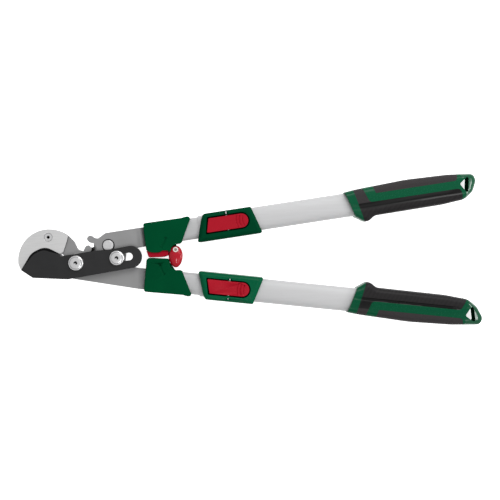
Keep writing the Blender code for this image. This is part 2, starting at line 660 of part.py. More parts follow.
def build_lug():
    """The lug on the upper boss that carries the latch."""
    left, right = LATCH_X - LUG_RADIUS, LATCH_X + LUG_RADIUS
    bottom, top = LATCH_Y - LUG_RADIUS, LATCH_Y + 2 * LUG_RADIUS
    return flat(
        "latch_lug",
        [rounded([(left, bottom, 5.0), (right, bottom, 5.0), (right, top), (left, top)]),
         circle(LATCH_X, LATCH_Y, LATCH_SCREW_RADIUS + GAP, 12)],
        LUG_TOP - LUG_THICK, LUG_TOP, None, tang_axis, (-GEAR_PIN_X, -GEAR_PIN_Y), keep=False)


def build_boss(side):
    prefix = PREFIX[side]
    outer, inner, low, high, drop = TANG[side]
    frame = handle_frames[side]
    body = flat(prefix + "boss", [rounded(boss(side))], REST_Z, AXIS_Z + REST_HALF_THICK, GREEN_PLASTIC,
                frame, bevel=BOSS_BEVEL if side < 0 else UPPER_BOSS_BEVEL)
    if side > 0:
        join(body, build_lug())
    bore = bar(prefix + "boss_bore", [stadium(INNER_WIDTH + 2 * GAP, INNER_HEIGHT + 2 * GAP)],
               INNER_START - GAP, BOSS_START + 100, None, frame, keep=False)
    cut(body, bore)
    away = (-GEAR_PIN_X, -GEAR_PIN_Y) if side > 0 else (0, 0)
    entry = flat(prefix + "tang_slot", [tail(side, outer, inner, GAP)], low - GAP, high + GAP, None,
                 tang_axis if side > 0 else tool_frame, away, keep=False)
    crank(entry, side, drop)
    cut(body, entry)
    return body


def build_tubes(side):
    prefix = PREFIX[side]
    frame = handle_frames[side]
    for name, place in (("tang_pin_front", TANG_PIN_FRONT), ("tang_pin_rear", TANG_PIN_REAR)):
        half = INNER_HEIGHT / 2 - GAP
        top, bottom = AXIS_Z + half, AXIS_Z - half
        turned(prefix + name,
               [(0, top), (TANG_PIN_RADIUS - 0.4, top), (TANG_PIN_RADIUS, top - 0.4),
                (TANG_PIN_RADIUS, bottom + 0.4), (TANG_PIN_RADIUS - 0.4, bottom), (0, bottom)],
               BRIGHT_STEEL, frame, (place, 0), sides=12)

    inner = bar(prefix + "inner_tube",
                [stadium(INNER_WIDTH, INNER_HEIGHT),
                 stadium(INNER_WIDTH - 2 * INNER_WALL, INNER_HEIGHT - 2 * INNER_WALL)],
                INNER_START, INNER_END, ALUMINIUM, frame)
    for place in (TANG_PIN_FRONT, TANG_PIN_REAR):
        cut(inner, flat(f"{prefix}tang_pin_hole_{place:.0f}", [circle(place, 0, TANG_PIN_RADIUS + GAP, 12)],
                        AXIS_Z - INNER_HEIGHT, AXIS_Z + INNER_HEIGHT, None, frame, keep=False))
    for number in range(DETENT_COUNT):
        place = LOCK_PIN_U + DETENT_PITCH * number
        cut(inner, flat(f"{prefix}detent_{number}", [circle(place, 0, DETENT_RADIUS, 12)],
                        AXIS_Z, AXIS_Z + INNER_HEIGHT, None, frame, keep=False))

    plug_width = INNER_WIDTH - 2 * INNER_WALL - 2 * GAP
    plug_height = INNER_HEIGHT - 2 * INNER_WALL - 2 * GAP
    glide = bar(prefix + "tube_glide", [stadium(INNER_WIDTH, INNER_HEIGHT)], INNER_END + GAP,
                INNER_END + GLIDE_RIM, GLIDE_PLASTIC, frame)
    join(glide, bar(prefix + "glide_plug", [stadium(plug_width, plug_height)], INNER_END - GLIDE_PLUG,
                    INNER_END + GLIDE_RIM / 2,
                    None, frame, keep=False))

    slide = slide_frames[side]
    outer = bar(prefix + "outer_tube",
                [stadium(OUTER_WIDTH, OUTER_HEIGHT),
                 stadium(OUTER_WIDTH - 2 * OUTER_WALL, OUTER_HEIGHT - 2 * OUTER_WALL)],
                OUTER_START, OUTER_END, ALUMINIUM, slide)
    cut(outer, flat(prefix + "lock_pin_hole", [circle(LOCK_PIN_U, 0, LOCK_PIN_RADIUS + RUNNING_GAP, 12)],
                    AXIS_Z, AXIS_Z + OUTER_HEIGHT, None, slide, keep=False))


def button_outline(side, grow=0.0):
    """The rocker seen from the front: slanted at one end, round at the other."""
    half = (BUTTON_OUTER - BUTTON_INNER) / 2 + grow
    middle = (BUTTON_OUTER + BUTTON_INNER) / 2
    round_end = BUTTON_TAIL - (BUTTON_OUTER - BUTTON_INNER) / 2
    slant = [(-BUTTON_SLANT_OUTER - grow, BUTTON_OUTER + grow),
             (-BUTTON_SLANT_INNER - grow, BUTTON_INNER - grow)]
    return outward(at(BUTTON_AXLE_U, 0, slant + arc(round_end, middle, half, -90, 90, 15)), side)


def build_lock(side):
    prefix = PREFIX[side]
    slide = slide_frames[side]
    wall = OUTER_WIDTH / 2 + HOUSING_WALL
    corner = HOUSING_BEVEL + 0.2
    outline = at(HOUSING_START, 0, [(0.0, -wall, corner), (91.7, -wall, corner), (80.9, wall, corner),
                                    (12.5, wall, 5.0), (8.7, wall - 7.3, 6.0)])
    housing = flat(prefix + "lock_housing", [rounded(outward(outline, side))], REST_Z, HOUSING_TOP,
                   GREEN_PLASTIC, slide, bevel=HOUSING_BEVEL)
    cut(housing, bar(prefix + "housing_bore", [stadium(OUTER_WIDTH + 2 * GAP, OUTER_HEIGHT + 2 * GAP)],
                     OUTER_START - GAP, OUTER_START + 120, None, slide, keep=False))
    cut(housing, bar(prefix + "housing_mouth", [stadium(INNER_WIDTH + 2 * GAP, INNER_HEIGHT + 2 * GAP)],
                     HOUSING_START - 20, OUTER_START + 5, None, slide, keep=False))
    cut(housing, flat(prefix + "button_well", [button_outline(side, BUTTON_SURROUND)], AXIS_Z,
                      HOUSING_TOP + BUTTON_THICK, None, slide, keep=False))

    axle_middle = (BUTTON_OUTER + BUTTON_INNER) / 2 * side
    axle = turned(
        prefix + "button_pin",
        [(0, BUTTON_AXLE_HALF), (BUTTON_AXLE_RADIUS, BUTTON_AXLE_HALF),
         (BUTTON_AXLE_RADIUS, -BUTTON_AXLE_HALF), (0, -BUTTON_AXLE_HALF)],
        BRIGHT_STEEL, slide, (BUTTON_AXLE_U, axle_middle), sides=12)
    lift = Matrix.Translation((0, 0, BUTTON_AXLE_Z * MILLIMETRE))
    across = lift @ Matrix.Rotation(math.radians(90), 4, "X")
    axle.data.transform(across)
    axle_hole = turned(
        prefix + "button_pin_hole",
        [(0, BUTTON_AXLE_HALF + GAP), (BUTTON_AXLE_RADIUS + GAP, BUTTON_AXLE_HALF + GAP),
         (BUTTON_AXLE_RADIUS + GAP, -BUTTON_AXLE_HALF - GAP), (0, -BUTTON_AXLE_HALF - GAP)],
        None, slide, (BUTTON_AXLE_U, axle_middle), sides=12, keep=False)
    axle_hole.data.transform(across)
    cut(housing, axle_hole)

    rocker_frame = button_frames[side]
    away = (-BUTTON_AXLE_U, 0)
    low = BUTTON_TOP - BUTTON_THICK - BUTTON_AXLE_Z
    high = BUTTON_TOP - BUTTON_AXLE_Z
    button = flat(prefix + "lock_button", [button_outline(side)], low, high, RED_PLASTIC, rocker_frame, away,
                  bevel=0.5)
    cut(button, axle_hole)
    cut(button, turned(prefix + "lock_pin_socket",
                       [(0, LOCK_PIN_SEAT + GAP), (LOCK_PIN_RADIUS + GAP, LOCK_PIN_SEAT + GAP),
                        (LOCK_PIN_RADIUS + GAP, AXIS_Z), (0, AXIS_Z)],
                       None, slide, (LOCK_PIN_U, 0), sides=12, keep=False))
    spring_top = BUTTON_TOP - BUTTON_THICK + SPRING_SEAT
    cut(button, turned(prefix + "spring_seat",
                       [(0, spring_top), (SPRING_RADIUS + SPRING_WIRE + GAP, spring_top),
                        (SPRING_RADIUS + SPRING_WIRE + GAP, AXIS_Z), (0, AXIS_Z)],
                       None, slide, (SPRING_U, axle_middle), sides=16, keep=False))

    pin_top = LOCK_PIN_SEAT - BUTTON_AXLE_Z
    pin_bottom = AXIS_Z + INNER_HEIGHT / 2 + GAP - BUTTON_AXLE_Z
    turned(prefix + "lock_pin",
           [(0, pin_top), (LOCK_PIN_RADIUS, pin_top), (LOCK_PIN_RADIUS, pin_bottom + 0.6),
            (LOCK_PIN_RADIUS - 0.6, pin_bottom), (0, pin_bottom)],
           BRIGHT_STEEL, rocker_frame, (LOCK_PIN_U - BUTTON_AXLE_U, 0), sides=12)

    foot = AXIS_Z + OUTER_HEIGHT / 2 + GAP + SPRING_WIRE
    coil(prefix + "button_spring", foot, spring_top - GAP - SPRING_WIRE, slide, (SPRING_U, axle_middle))


def coil(name, low, high, parent, offset):
    """A compression spring: one wire wound in a helix between two heights."""
    curve = bpy.data.curves.new(name, "CURVE")
    curve.dimensions = "3D"
    curve.bevel_depth = SPRING_WIRE * MILLIMETRE
    curve.bevel_resolution = 1
    curve.use_fill_caps = True
    steps = SPRING_TURNS * 10
    spline = curve.splines.new("POLY")
    spline.points.add(steps)
    for i, point in enumerate(spline.points):
        turn = 2 * math.pi * SPRING_TURNS * i / steps
        height = low + (high - low) * i / steps
        place = Vector((SPRING_RADIUS * math.cos(turn), SPRING_RADIUS * math.sin(turn), height)) * MILLIMETRE
        point.co = (*place, 1)
    drawn = bpy.data.objects.new(name, curve)
    parts.objects.link(drawn)
    bpy.context.view_layer.update()
    mesh = bpy.data.meshes.new_from_object(drawn.evaluated_get(bpy.context.evaluated_depsgraph_get()))
    bpy.data.objects.remove(drawn)
    solid(name, mesh, BRIGHT_STEEL, parent, offset)


# Grips: a green core with soft mouldings let into it

def grip_outline(side):
    """The grip's outline, from the tube's end: how far it stands out from the tube, then its rounded end."""
    tube = OUTER_WIDTH / 2
    return rounded(outward(at(OUTER_END, 0, [
        (-174.0, tube + 0.6), (-138.0, tube + 2.6, 60.0), (-65.0, tube + 5.8, 120.0),
        (-4.0, tube + 3.8, 80.0),
        (38.8, tube - 0.6, 8.2), (41.6, tube - 10.8, 9.0), (33.0, 9.0 - tube, 14.0), (17.0, -tube - 0.6, 20.0),
        (-14.0, -tube - 3.2, 80.0), (-68.0, -tube - 3.6, 80.0), (-115.0, -tube - 4.0, 14.0),
        (-128.0, -tube - 12.6, 9.0), (-145.0, -tube - 1.0, 12.0), (-174.0, -tube - 1.0),
    ]), side))


def grip_region(name, side, outline, inset=0.0):
    """A cutter right through the grip, its outline given from the tube's end."""
    return flat(name, [rounded(outward(at(OUTER_END, 0, outline), side))], REST_Z - GRIP_BEVEL,
                AXIS_Z + REST_HALF_THICK + GRIP_BEVEL, None, slide_frames[side], inset=inset, keep=False)


def grip_body(name, side, inset=0.0, keep=False):
    return flat(name, [grip_outline(side)], REST_Z + inset, AXIS_Z + REST_HALF_THICK - inset, GRIP_GREEN,
                slide_frames[side], bevel=GRIP_BEVEL - inset, inset=inset, steps=2, keep=keep)


def pad_region(name, side, inset=0.0):
    """The black moulding seen from the front: the band behind the collar and the finger side."""
    return grip_region(name, side, [(-145.3, 30.0), (-132.0, 30.0), (-120.6, -1.8, 6.0), (5.0, -1.8, 5.0),
                                    (15.5, -34.0), (-127.8, -34.0)], inset)


def panel_region(name, side, inset=0.0):
    """The charcoal panel on the grip's outer side."""
    return grip_region(name, side, [(-116.4, 32.0), (-110.4, 9.8, 1.5), (6.0, 9.8, 4.0), (13.0, 32.0)], inset)


def build_grip(side):
    prefix = PREFIX[side]
    slide = slide_frames[side]
    core = grip_body(prefix + "grip_core", side, keep=True)
    cut(core, grip_region(prefix + "grip_front", side, [
        (-194.0, 40.0), (-160.5, 40.0), (-142.2, -23.4), (-137.0, -40.0), (-194.0, -40.0)]))
    inside = grip_body(prefix + "grip_inside", side, inset=PAD_DEPTH)
    shape = grip_body(prefix + "grip_shape", side)
    under = grip_body(prefix + "grip_under", side, inset=PAD_DEPTH - PAD_GAP)
    for name, region in (("grip_pad", pad_region), ("grip_panel", panel_region)):
        recess = region(prefix + name + "_recess", side)
        cut(recess, inside)
        cut(core, recess)
        pad = region(prefix + name + "_area", side, inset=PAD_GAP)
        pad.name = prefix + name
        pad.data.name = prefix + name
        cutters.objects.unlink(pad)
        parts.objects.link(pad)
        pad.hide_render = False
        pad.display_type = "TEXTURED"
        colour = BLACK_RUBBER if name == "grip_pad" else CHARCOAL_RUBBER
        pad.data.materials.append(finish(prefix + name + "_finish", *colour[1:]))
        keep_inside(pad, shape)
        cut(pad, under)
    cut(core, bar(prefix + "grip_bore", [stadium(OUTER_WIDTH + 2 * GAP, OUTER_HEIGHT + 2 * GAP)],
                  OUTER_END - 190, CORE_BORE_END, None, slide, keep=False))
    cut(core, grip_region(prefix + "hanging_hole", side, [
        (10.0, 5.6, 2.5), (27.8, 15.2, 2.5), (21.0, -10.6, 2.5)]))


for side in (1, -1):
    build_boss(side)
    build_tubes(side)
    build_lock(side)
    build_grip(side)


# Bumper: a rubber stop let into the upper boss, which meets the lower boss when the handles close

bumper_line = [(0.0, -20.6), (4.6, -24.2), (10.8, -26.2), (18.2, -26.9), (23.6, -25.0), (30.0, -26.0)]
bumper_top = [from_handle(BOSS_START + u, v - GAP, 1) for u, v in bumper_line]
bumper_left, bumper_right = bumper_top[0][0], bumper_top[-1][0]
bumper_fillets = [1.0, 3.0, 6.0, 6.0, 3.0, 1.5]
handle_bumper = flat(
    "handle_bumper",
    [rounded([(x, y, r) for (x, y), r in zip(bumper_top, bumper_fillets)]
             + [(bumper_right - 0.8, CLOSING_LINE + 3.0, 2.0), (bumper_right - 9.4, CLOSING_LINE + GAP, 12.0),
                (bumper_left + 3.6, CLOSING_LINE + GAP, 3.0)])],
    AXIS_Z - BUMPER_HALF_THICK, AXIS_Z + BUMPER_HALF_THICK, RED_PLASTIC, tang_axis,
    (-GEAR_PIN_X, -GEAR_PIN_Y), bevel=0.8)


# Latch: an egg-shaped knob on the lug of the upper boss

egg_middle = -LATCH_EGG_DROP


def egg(share, height):
    """One ring of the egg at a height, as a share of its full outline."""
    ring = []
    for i in range(28):
        turn = 2 * math.pi * i / 28
        across = LATCH_HALF_WIDTH * share * math.cos(turn) * (1 + 0.10 * math.sin(turn))
        ring.append((across, egg_middle + LATCH_HALF_LENGTH * share * math.sin(turn), height))
    return ring


def lofted(name, rings, material, parent):
    """A closed skin over rings that have the same number of points, first ring lowest."""
    shape = bmesh.new()
    rows = [[shape.verts.new([c * MILLIMETRE for c in point]) for point in ring] for ring in rings]
    for below, above in zip(rows, rows[1:]):
        for i in range(len(below)):
            j = (i + 1) % len(below)
            shape.faces.new((below[i], below[j], above[j], above[i]))
    shape.faces.new(rows[0][::-1])
    shape.faces.new(rows[-1])
    mesh = bpy.data.meshes.new(name)
    shape.to_mesh(mesh)
    shape.free()
    return solid(name, mesh, material, parent)


latch_top = LATCH_BACK + LATCH_THICK
latch_knob = lofted(
    "latch_knob",
    [egg(0.94, LATCH_BACK), egg(1.0, LATCH_BACK + 1), egg(1.0, latch_top - 5), egg(0.93, latch_top - 2.6),
     egg(0.78, latch_top - 1), egg(0.55, latch_top)],
    RED_PLASTIC, latch_axis)
screw_seat = latch_top - 2.4
cut(latch_knob, turned(
    "latch_screw_hole",
    [(0, latch_top + 2), (LATCH_SCREW_HEAD + GAP, latch_top + 2),
     (LATCH_SCREW_HEAD + GAP, screw_seat - GAP), (LATCH_SCREW_RADIUS + GAP, screw_seat - GAP),
     (LATCH_SCREW_RADIUS + GAP, LATCH_BACK - 2), (0, LATCH_BACK - 2)],
    None, latch_axis, sides=16, keep=False))
screw_bottom = LUG_TOP - LUG_THICK + 1
latch_screw = turned(
    "latch_screw",
    [(0, screw_seat + 2.2), (LATCH_SCREW_HEAD - 0.8, screw_seat + 2.2), (LATCH_SCREW_HEAD, screw_seat + 1.2),
     (LATCH_SCREW_HEAD, screw_seat), (LATCH_SCREW_RADIUS, screw_seat), (LATCH_SCREW_RADIUS, screw_bottom),
     (0, screw_bottom)],
    BRIGHT_STEEL, latch_axis, sides=16)


# Stand the lopper on its back with the origin under the middle of its box

bpy.context.view_layer.update()
scene_now = bpy.context.evaluated_depsgraph_get()
corners = []
for piece in parts.objects:
    shown = piece.evaluated_get(scene_now)
    corners += [shown.matrix_world @ vert.co for vert in shown.data.vertices]
low = Vector([min(corner[i] for corner in corners) for i in range(3)])
high = Vector([max(corner[i] for corner in corners) for i in range(3)])
tool_frame.location = (-(low.x + high.x) / 2, -(low.y + high.y) / 2, -low.z)
bpy.context.view_layer.update()
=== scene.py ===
# Geared bypass lopper with telescopic handles, lying on its back with the jaws shut, seen from above.
# Lengths are given in millimetres and turned to metres where a mesh is made.
# Head pieces are drawn in the tool frame: origin on the main pivot, X along the tool, Y to the upper handle.
# Handle pieces are drawn in a handle frame: u runs along the handle, v points away from the other handle.
import math

import bpy
from mathutils import Matrix, Vector


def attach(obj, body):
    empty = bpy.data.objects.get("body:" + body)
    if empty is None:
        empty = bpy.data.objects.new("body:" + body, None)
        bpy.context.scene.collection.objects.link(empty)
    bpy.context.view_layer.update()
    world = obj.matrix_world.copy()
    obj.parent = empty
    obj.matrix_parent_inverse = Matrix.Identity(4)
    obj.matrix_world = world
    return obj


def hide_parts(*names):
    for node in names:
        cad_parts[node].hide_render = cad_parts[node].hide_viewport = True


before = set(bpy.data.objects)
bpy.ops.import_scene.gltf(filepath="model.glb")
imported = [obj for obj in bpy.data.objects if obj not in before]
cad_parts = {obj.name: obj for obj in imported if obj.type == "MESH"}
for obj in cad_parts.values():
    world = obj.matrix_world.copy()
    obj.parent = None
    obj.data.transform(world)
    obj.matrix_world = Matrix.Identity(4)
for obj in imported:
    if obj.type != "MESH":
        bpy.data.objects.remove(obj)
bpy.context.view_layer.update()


# The table
# A plain white table, as product pictures are taken on. It is lit evenly, so hardly a shadow shows on it.

MM = 0.001
TABLE_SIZE = 8.0
TABLE_LEVEL = -0.0005


def srgb(code):
    """An sRGB hex colour as linear numbers."""
    shares = [int(code[i:i + 2], 16) / 255 for i in (1, 3, 5)]
    return tuple(s / 12.92 if s <= 0.04045 else ((s + 0.055) / 1.055) ** 2.4 for s in shares) + (1.0,)


def node(tree, kind, settings=None, links=None):
    """Adds a node. Settings are values of its sockets or of the node itself, and links feed its sockets."""
    added = tree.nodes.new("ShaderNode" + kind)
    for key, value in (settings or {}).items():
        if isinstance(key, int) or key in added.inputs:
            added.inputs[key].default_value = value
        else:
            setattr(added, key, value)
    for key, source in (links or {}).items():
        tree.links.new(source, added.inputs[key])
    return added


def shader_of(material):
    """The shader node of a material."""
    return material.node_tree.nodes["Principled BSDF"]


def surface(name, colour, roughness, metallic=0.0, specular=0.5):
    """A material whose even values are set straight on its shader."""
    material = bpy.data.materials.new(name)
    material.use_nodes = True
    for socket, value in (("Base Color", srgb(colour)), ("Roughness", roughness), ("Metallic", metallic),
                          ("Specular IOR Level", specular)):
        shader_of(material).inputs[socket].default_value = value
    return material


table_top = surface("white_matt_laminate", "#f7f7f7", 0.9, specular=0.1)
shader_of(table_top).inputs["Emission Color"].default_value = srgb("#ffffff")
shader_of(table_top).inputs["Emission Strength"].default_value = 0.8

bpy.ops.object.select_all(action="DESELECT")
bpy.ops.mesh.primitive_plane_add(size=TABLE_SIZE, location=(0, 0, TABLE_LEVEL))
table = bpy.context.object
table.name = "table"
bpy.ops.object.transform_apply(location=True, rotation=True, scale=True)
table.data.materials.append(table_top)


# The light and the camera
# A white tent with a large soft box at the far side of the table and three small ones at the other sides.
# The camera hangs a metre above the middle of the tool and looks straight down.

world = bpy.data.worlds.new("white_tent")
world.use_nodes = True
tent = world.node_tree.nodes["Background"]
tent.inputs["Color"].default_value = srgb("#ffffff")
tent.inputs["Strength"].default_value = 0.55
bpy.context.scene.world = world


def soft_box(name, place, width, height, power):
    """An area light aimed at the middle of the tool."""
    bpy.ops.object.light_add(type="AREA", location=place)
    box = bpy.context.object
    box.name = name
    box.data.shape = "RECTANGLE"
    box.data.size = width
    box.data.size_y = height
    box.data.energy = power
    box.rotation_euler = (-Vector(place)).to_track_quat("-Z", "Y").to_euler()


soft_box("far_soft_box", (0.5, 1.05, 1.25), 1.1, 0.9, 19.0)
soft_box("near_soft_box", (0.05, -0.6, 1.5), 0.2, 0.6, 3.2)
soft_box("corner_soft_box", (0.82, -0.7, 1.33), 0.7, 0.7, 2.2)
soft_box("right_soft_box", (1.2, 0.0, 0.62), 0.7, 0.2, 4.4)

# The camera's place and the width that it frames on the table, in metres, and its turn in degrees.
CAMERA_PLACE = (0.000242, 0.0069, 1.016)
CAMERA_ROLL = -1.485
FRAME_WIDTH = 0.725
SENSOR = 36.0

bpy.ops.object.camera_add(location=CAMERA_PLACE, rotation=(0, 0, math.radians(CAMERA_ROLL)))
camera = bpy.context.object
camera.name = "camera"
camera.data.sensor_width = SENSOR
camera.data.lens = SENSOR / FRAME_WIDTH
bpy.context.scene.camera = camera
bpy.context.scene.view_settings.view_transform = "Standard"


# Cutting blade
# Stamped and hardened steel plate with a black non-stick coat. Its convex edge is ground from the front.
# It turns on the main bolt and is driven through its lengthwise slot by the second bolt.

TOOL = Matrix.Translation((-0.247858, -0.00525, 0.0285))
BLADE_TOP = 4.0
BLADE_LAND = 0.5
GRIND_WIDTH = 3.6
PIVOT_HOLE = 6.0
SLOT_TURN = 5.57
SLOT_ENDS = (57.98, 75.6)
SLOT_HALF_WIDTH = 5.4
# How far a cutter reaches past the plate that it goes through.
PAST = 1.0


def arc(x, y, radius, start, end, step=6.0):
    """Points on an arc, both ends included."""
    count = max(1, round(abs(end - start) / step))
    turns = [math.radians(start + (end - start) * i / count) for i in range(count + 1)]
    return [(x + radius * math.cos(t), y + radius * math.sin(t)) for t in turns]


def rounded(corners):
    """A closed outline from corners (x, y) or (x, y, fillet radius)."""
    points = []
    for i, corner in enumerate(corners):
        here = Vector(corner[:2])
        radius = corner[2] if len(corner) > 2 else 0.0
        before = Vector(corners[i - 1][:2]) - here
        after = Vector(corners[(i + 1) % len(corners)][:2]) - here
        angle = before.angle(after, 0.0)
        if radius <= 0.0 or angle < 0.01 or math.pi - angle < 0.01:
            points.append(tuple(here))
            continue
        reach = radius / math.tan(angle / 2)
        inward = (before.normalized() + after.normalized()).normalized()
        middle = here + inward * (radius / math.sin(angle / 2))
        first = here + before.normalized() * reach - middle
        last = here + after.normalized() * reach - middle
        sweep = math.degrees(math.atan2(first.x * last.y - first.y * last.x, first.dot(last)))
        start = math.degrees(math.atan2(first.y, first.x))
        points += arc(middle.x, middle.y, radius, start, start + sweep)
    return points


def only(piece):
    """Selects one object and nothing else."""
    bpy.ops.object.select_all(action="DESELECT")
    piece.select_set(True)
    bpy.context.view_layer.objects.active = piece


def even_normals(piece):
    """Turns a closed shape's faces outwards."""
    only(piece)
    bpy.ops.object.mode_set(mode="EDIT")
    bpy.ops.mesh.select_all(action="SELECT")
    bpy.ops.mesh.normals_make_consistent(inside=False)
    bpy.ops.object.mode_set(mode="OBJECT")


def plate(name, outline, *heights):
    """A plate: a circle with its corners moved onto an outline, then extruded from height to height."""
    bpy.ops.object.select_all(action="DESELECT")
    bpy.ops.mesh.primitive_circle_add(vertices=len(outline), radius=0.1, fill_type="NGON")
    drawn = bpy.context.object
    drawn.name = name
    drawn.data.name = name
    for vert, (x, y) in zip(drawn.data.vertices, outline):
        vert.co = (x * MM, y * MM, heights[0] * MM)
    bpy.ops.object.mode_set(mode="EDIT")
    bpy.ops.mesh.select_all(action="SELECT")
    for below, above in zip(heights, heights[1:]):
        bpy.ops.mesh.extrude_region_move(TRANSFORM_OT_translate={"value": (0, 0, (above - below) * MM)})
    bpy.ops.object.mode_set(mode="OBJECT")
    even_normals(drawn)
    return drawn


def move_ring(piece, height, ring, target):
    """Moves the ring of corners at one height from its outline's points to those of another outline."""
    for vert in piece.data.vertices:
        if abs(vert.co.z - height * MM) < 0.01 * MM:
            spot = vert.co.xy / MM
            nearest = min(range(len(ring)), key=lambda i: (spot - Vector(ring[i])).length)
            vert.co.xy = Vector(target[nearest]) * MM


def combine(piece, other, operation="DIFFERENCE"):
    """Cuts another closed shape out of a piece, or keeps only what both fill, and puts the other away."""
    shaping = piece.modifiers.new("shaping", "BOOLEAN")
    shaping.operation = operation
    shaping.solver = "EXACT"
    shaping.object = other
    only(piece)
    bpy.ops.object.modifier_apply(modifier=shaping.name)
    bpy.data.objects.remove(other, do_unlink=True)


def drill(piece, x, y, radius, low, high, sides=48):
    """Drills a round hole between two heights."""
    outline = [(x + radius * math.cos(math.tau * i / sides), y + radius * math.sin(math.tau * i / sides))
               for i in range(sides)]
    combine(piece, plate("drill", outline, low, high))


def place(piece, matrix):
    """Moves a piece to its place and makes that place part of its mesh."""
    piece.matrix_world = matrix
    only(piece)
    bpy.ops.object.transform_apply(location=True, rotation=True, scale=True)
    if matrix.determinant() < 0:
        even_normals(piece)


def round_edges(piece, width, segments, limit):
    """Rounds the edges that are sharper than an angle."""
    only(piece)
    rounding = piece.modifiers.new("rounding", "BEVEL")
    rounding.width = width * MM
    rounding.segments = segments
    rounding.limit_method = "ANGLE"
    rounding.angle_limit = math.radians(limit)
    rounding.use_clamp_overlap = False
    bpy.ops.object.modifier_apply(modifier=rounding.name)


def shade(piece, smooth=30.0):
    """Shades a piece smooth but for its sharper edges, and its large faces flat up to their rounding."""
    only(piece)
    bpy.ops.object.shade_smooth_by_angle(angle=math.radians(smooth))
    weighting = piece.modifiers.new("weighting", "WEIGHTED_NORMAL")
    weighting.keep_sharp = True
    weighting.weight = 100
    bpy.ops.object.modifier_apply(modifier=weighting.name)


def soften(piece, width, segments=2, limit=50.0, smooth=30.0):
    """Rounds the sharp edges, as tumbling or a mould does, and shades the piece."""
    only(piece)
    bpy.ops.object.mode_set(mode="EDIT")
    bpy.ops.mesh.select_all(action="SELECT")
    bpy.ops.mesh.remove_doubles(threshold=0.02 * MM)
    bpy.ops.object.mode_set(mode="OBJECT")
    round_edges(piece, width, segments, limit)
    shade(piece, smooth)


def stands_for(piece, node_name, body, slot, *materials):
    """Gives a piece its materials and puts it in the place of a CAD node, on that node's body."""
    piece.name = node_name + "_skin"
    piece.data.name = piece.name
    if materials:
        piece.data.materials.clear()
    for material in materials:
        piece.data.materials.append(material)
    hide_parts(node_name)
    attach(piece, body)


def paint(piece, rule):
    """Gives each face the material whose number a rule names for it."""
    for face in piece.data.polygons:
        face.material_index = int(rule(face))


# The Mix node's sockets have the same names for numbers and colours, so the colours' are told by number.
MIX_SHARE, MIX_FIRST, MIX_SECOND, MIXED = 0, 6, 7, 2


def vary(material, pattern, tones=None, sheen=None, relief=None):
    """Lets a pattern vary a material's tone between two colours, its roughness, and its relief in metres."""
    tree, shader = material.node_tree, shader_of(material)
    if tones:
        tone = node(tree, "Mix", {"data_type": "RGBA", MIX_FIRST: srgb(tones[0]), MIX_SECOND: srgb(tones[1])},
                    {MIX_SHARE: pattern})
        tree.links.new(tone.outputs[MIXED], shader.inputs["Base Color"])
    if sheen:
        gloss = node(tree, "MapRange", {"To Min": sheen[0], "To Max": sheen[1]}, {"Value": pattern})
        tree.links.new(gloss.outputs["Result"], shader.inputs["Roughness"])
    if relief:
        bump = node(tree, "Bump", {"Strength": relief[0], "Distance": relief[1]}, {"Height": pattern})
        tree.links.new(bump.outputs["Normal"], shader.inputs["Normal"])


def finish(name, colour, roughness, grain, cloud=None, turn=0.0, stretch=(1.0, 1.0, 1.0),
           tones=None, sheen=None, relief=None, **look):
    """A material with a fine grain (scale, detail), which may be turned about Z and stretched.
    The grain varies its roughness and relief, and its tone too, unless a coarser cloud does."""
    material = surface(name, colour, roughness, **look)
    tree = material.node_tree
    spot = node(tree, "TexCoord")
    laid = node(tree, "Mapping", {"Rotation": (0, 0, math.radians(turn)), "Scale": stretch},
                {"Vector": spot.outputs["Object"]})
    where = {"Vector": laid.outputs["Vector"]}
    fine = node(tree, "TexNoise", {"Scale": grain[0], "Detail": grain[1]}, where)
    coarse = node(tree, "TexNoise", {"Scale": cloud[0], "Detail": cloud[1]}, where) if cloud else fine
    vary(material, coarse.outputs["Fac"], tones)
    vary(material, fine.outputs["Fac"], None, sheen, relief)
    return material


# Black fluoropolymer coat on steel: a soft sheen with the fine orange peel of a sprayed and baked coat.
coated_steel = finish("black_coated_steel", "#1f1f20", 0.46, specular=0.3, grain=(700.0, 4.0),
                      cloud=(60.0, 2.0), tones=("#1b1b1c", "#242425"), sheen=(0.36, 0.52),
                      relief=(0.25, 0.00012))

# The same coat over the ground bevel, with the grinding lines showing through it. It is darker partly as the
# bevel's own tone and partly as painted shade along the blade's edge.
ground_coat = finish("black_coated_grind", "#080809", 0.6, specular=0.03, grain=(120.0, 3.0), turn=55.0,
                     stretch=(1.0, 14.0, 1.0), tones=("#060607", "#0c0c0d"), relief=(0.3, 0.0001))

cutting_edge = [(-23.9, 13.5, 1.0), (-45.4, 24.9, 19.0), (-65.6, 15.6, 24.0)]
blade_outline = rounded([
    (-79.2, -8.2, 0.8), (-62.8, -19.6, 3.0), (-13.0, -23.0, 14.0),
    *arc(77.6, 6.7, 15.9, -75, 98),
    (50.0, 18.2, 30.0), (26.0, 16.8, 30.0), (-3.0, 12.6, 30.0), (-17.0, 10.9, 3.0), (-21.8, 9.5, 1.0),
    *cutting_edge,
])
blade = plate("cutting_blade", blade_outline, 0, BLADE_LAND, BLADE_TOP)


def grind_share(x, y):
    """How much of the grind's width there is at a point of the blade's outline."""
    if y < -6.0 or x > -24.0 or y < 0.35 * x + 14.0:
        return 0.0
    from_choil = min(max((-24.0 - x) / 9.0, 0.0), 1.0)
    from_tip = min(max(math.hypot(x + 79.2, y + 8.2) / 12.0, 0.0), 1.0)
    return math.sin(math.pi / 2 * from_choil) * math.sin(math.pi / 2 * from_tip)


def drawn_in(outline, share_at, most):
    """An anticlockwise outline whose corners are each drawn inwards by their own share of a distance."""
    moved = []
    for i, (x, y) in enumerate(outline):
        x0, y0 = outline[i - 1]
        x1, y1 = outline[(i + 1) % len(outline)]
        inward = Vector((y0 - y1, x1 - x0)).normalized() * share_at(x, y) * most
        moved.append((x + inward.x, y + inward.y))
    return moved


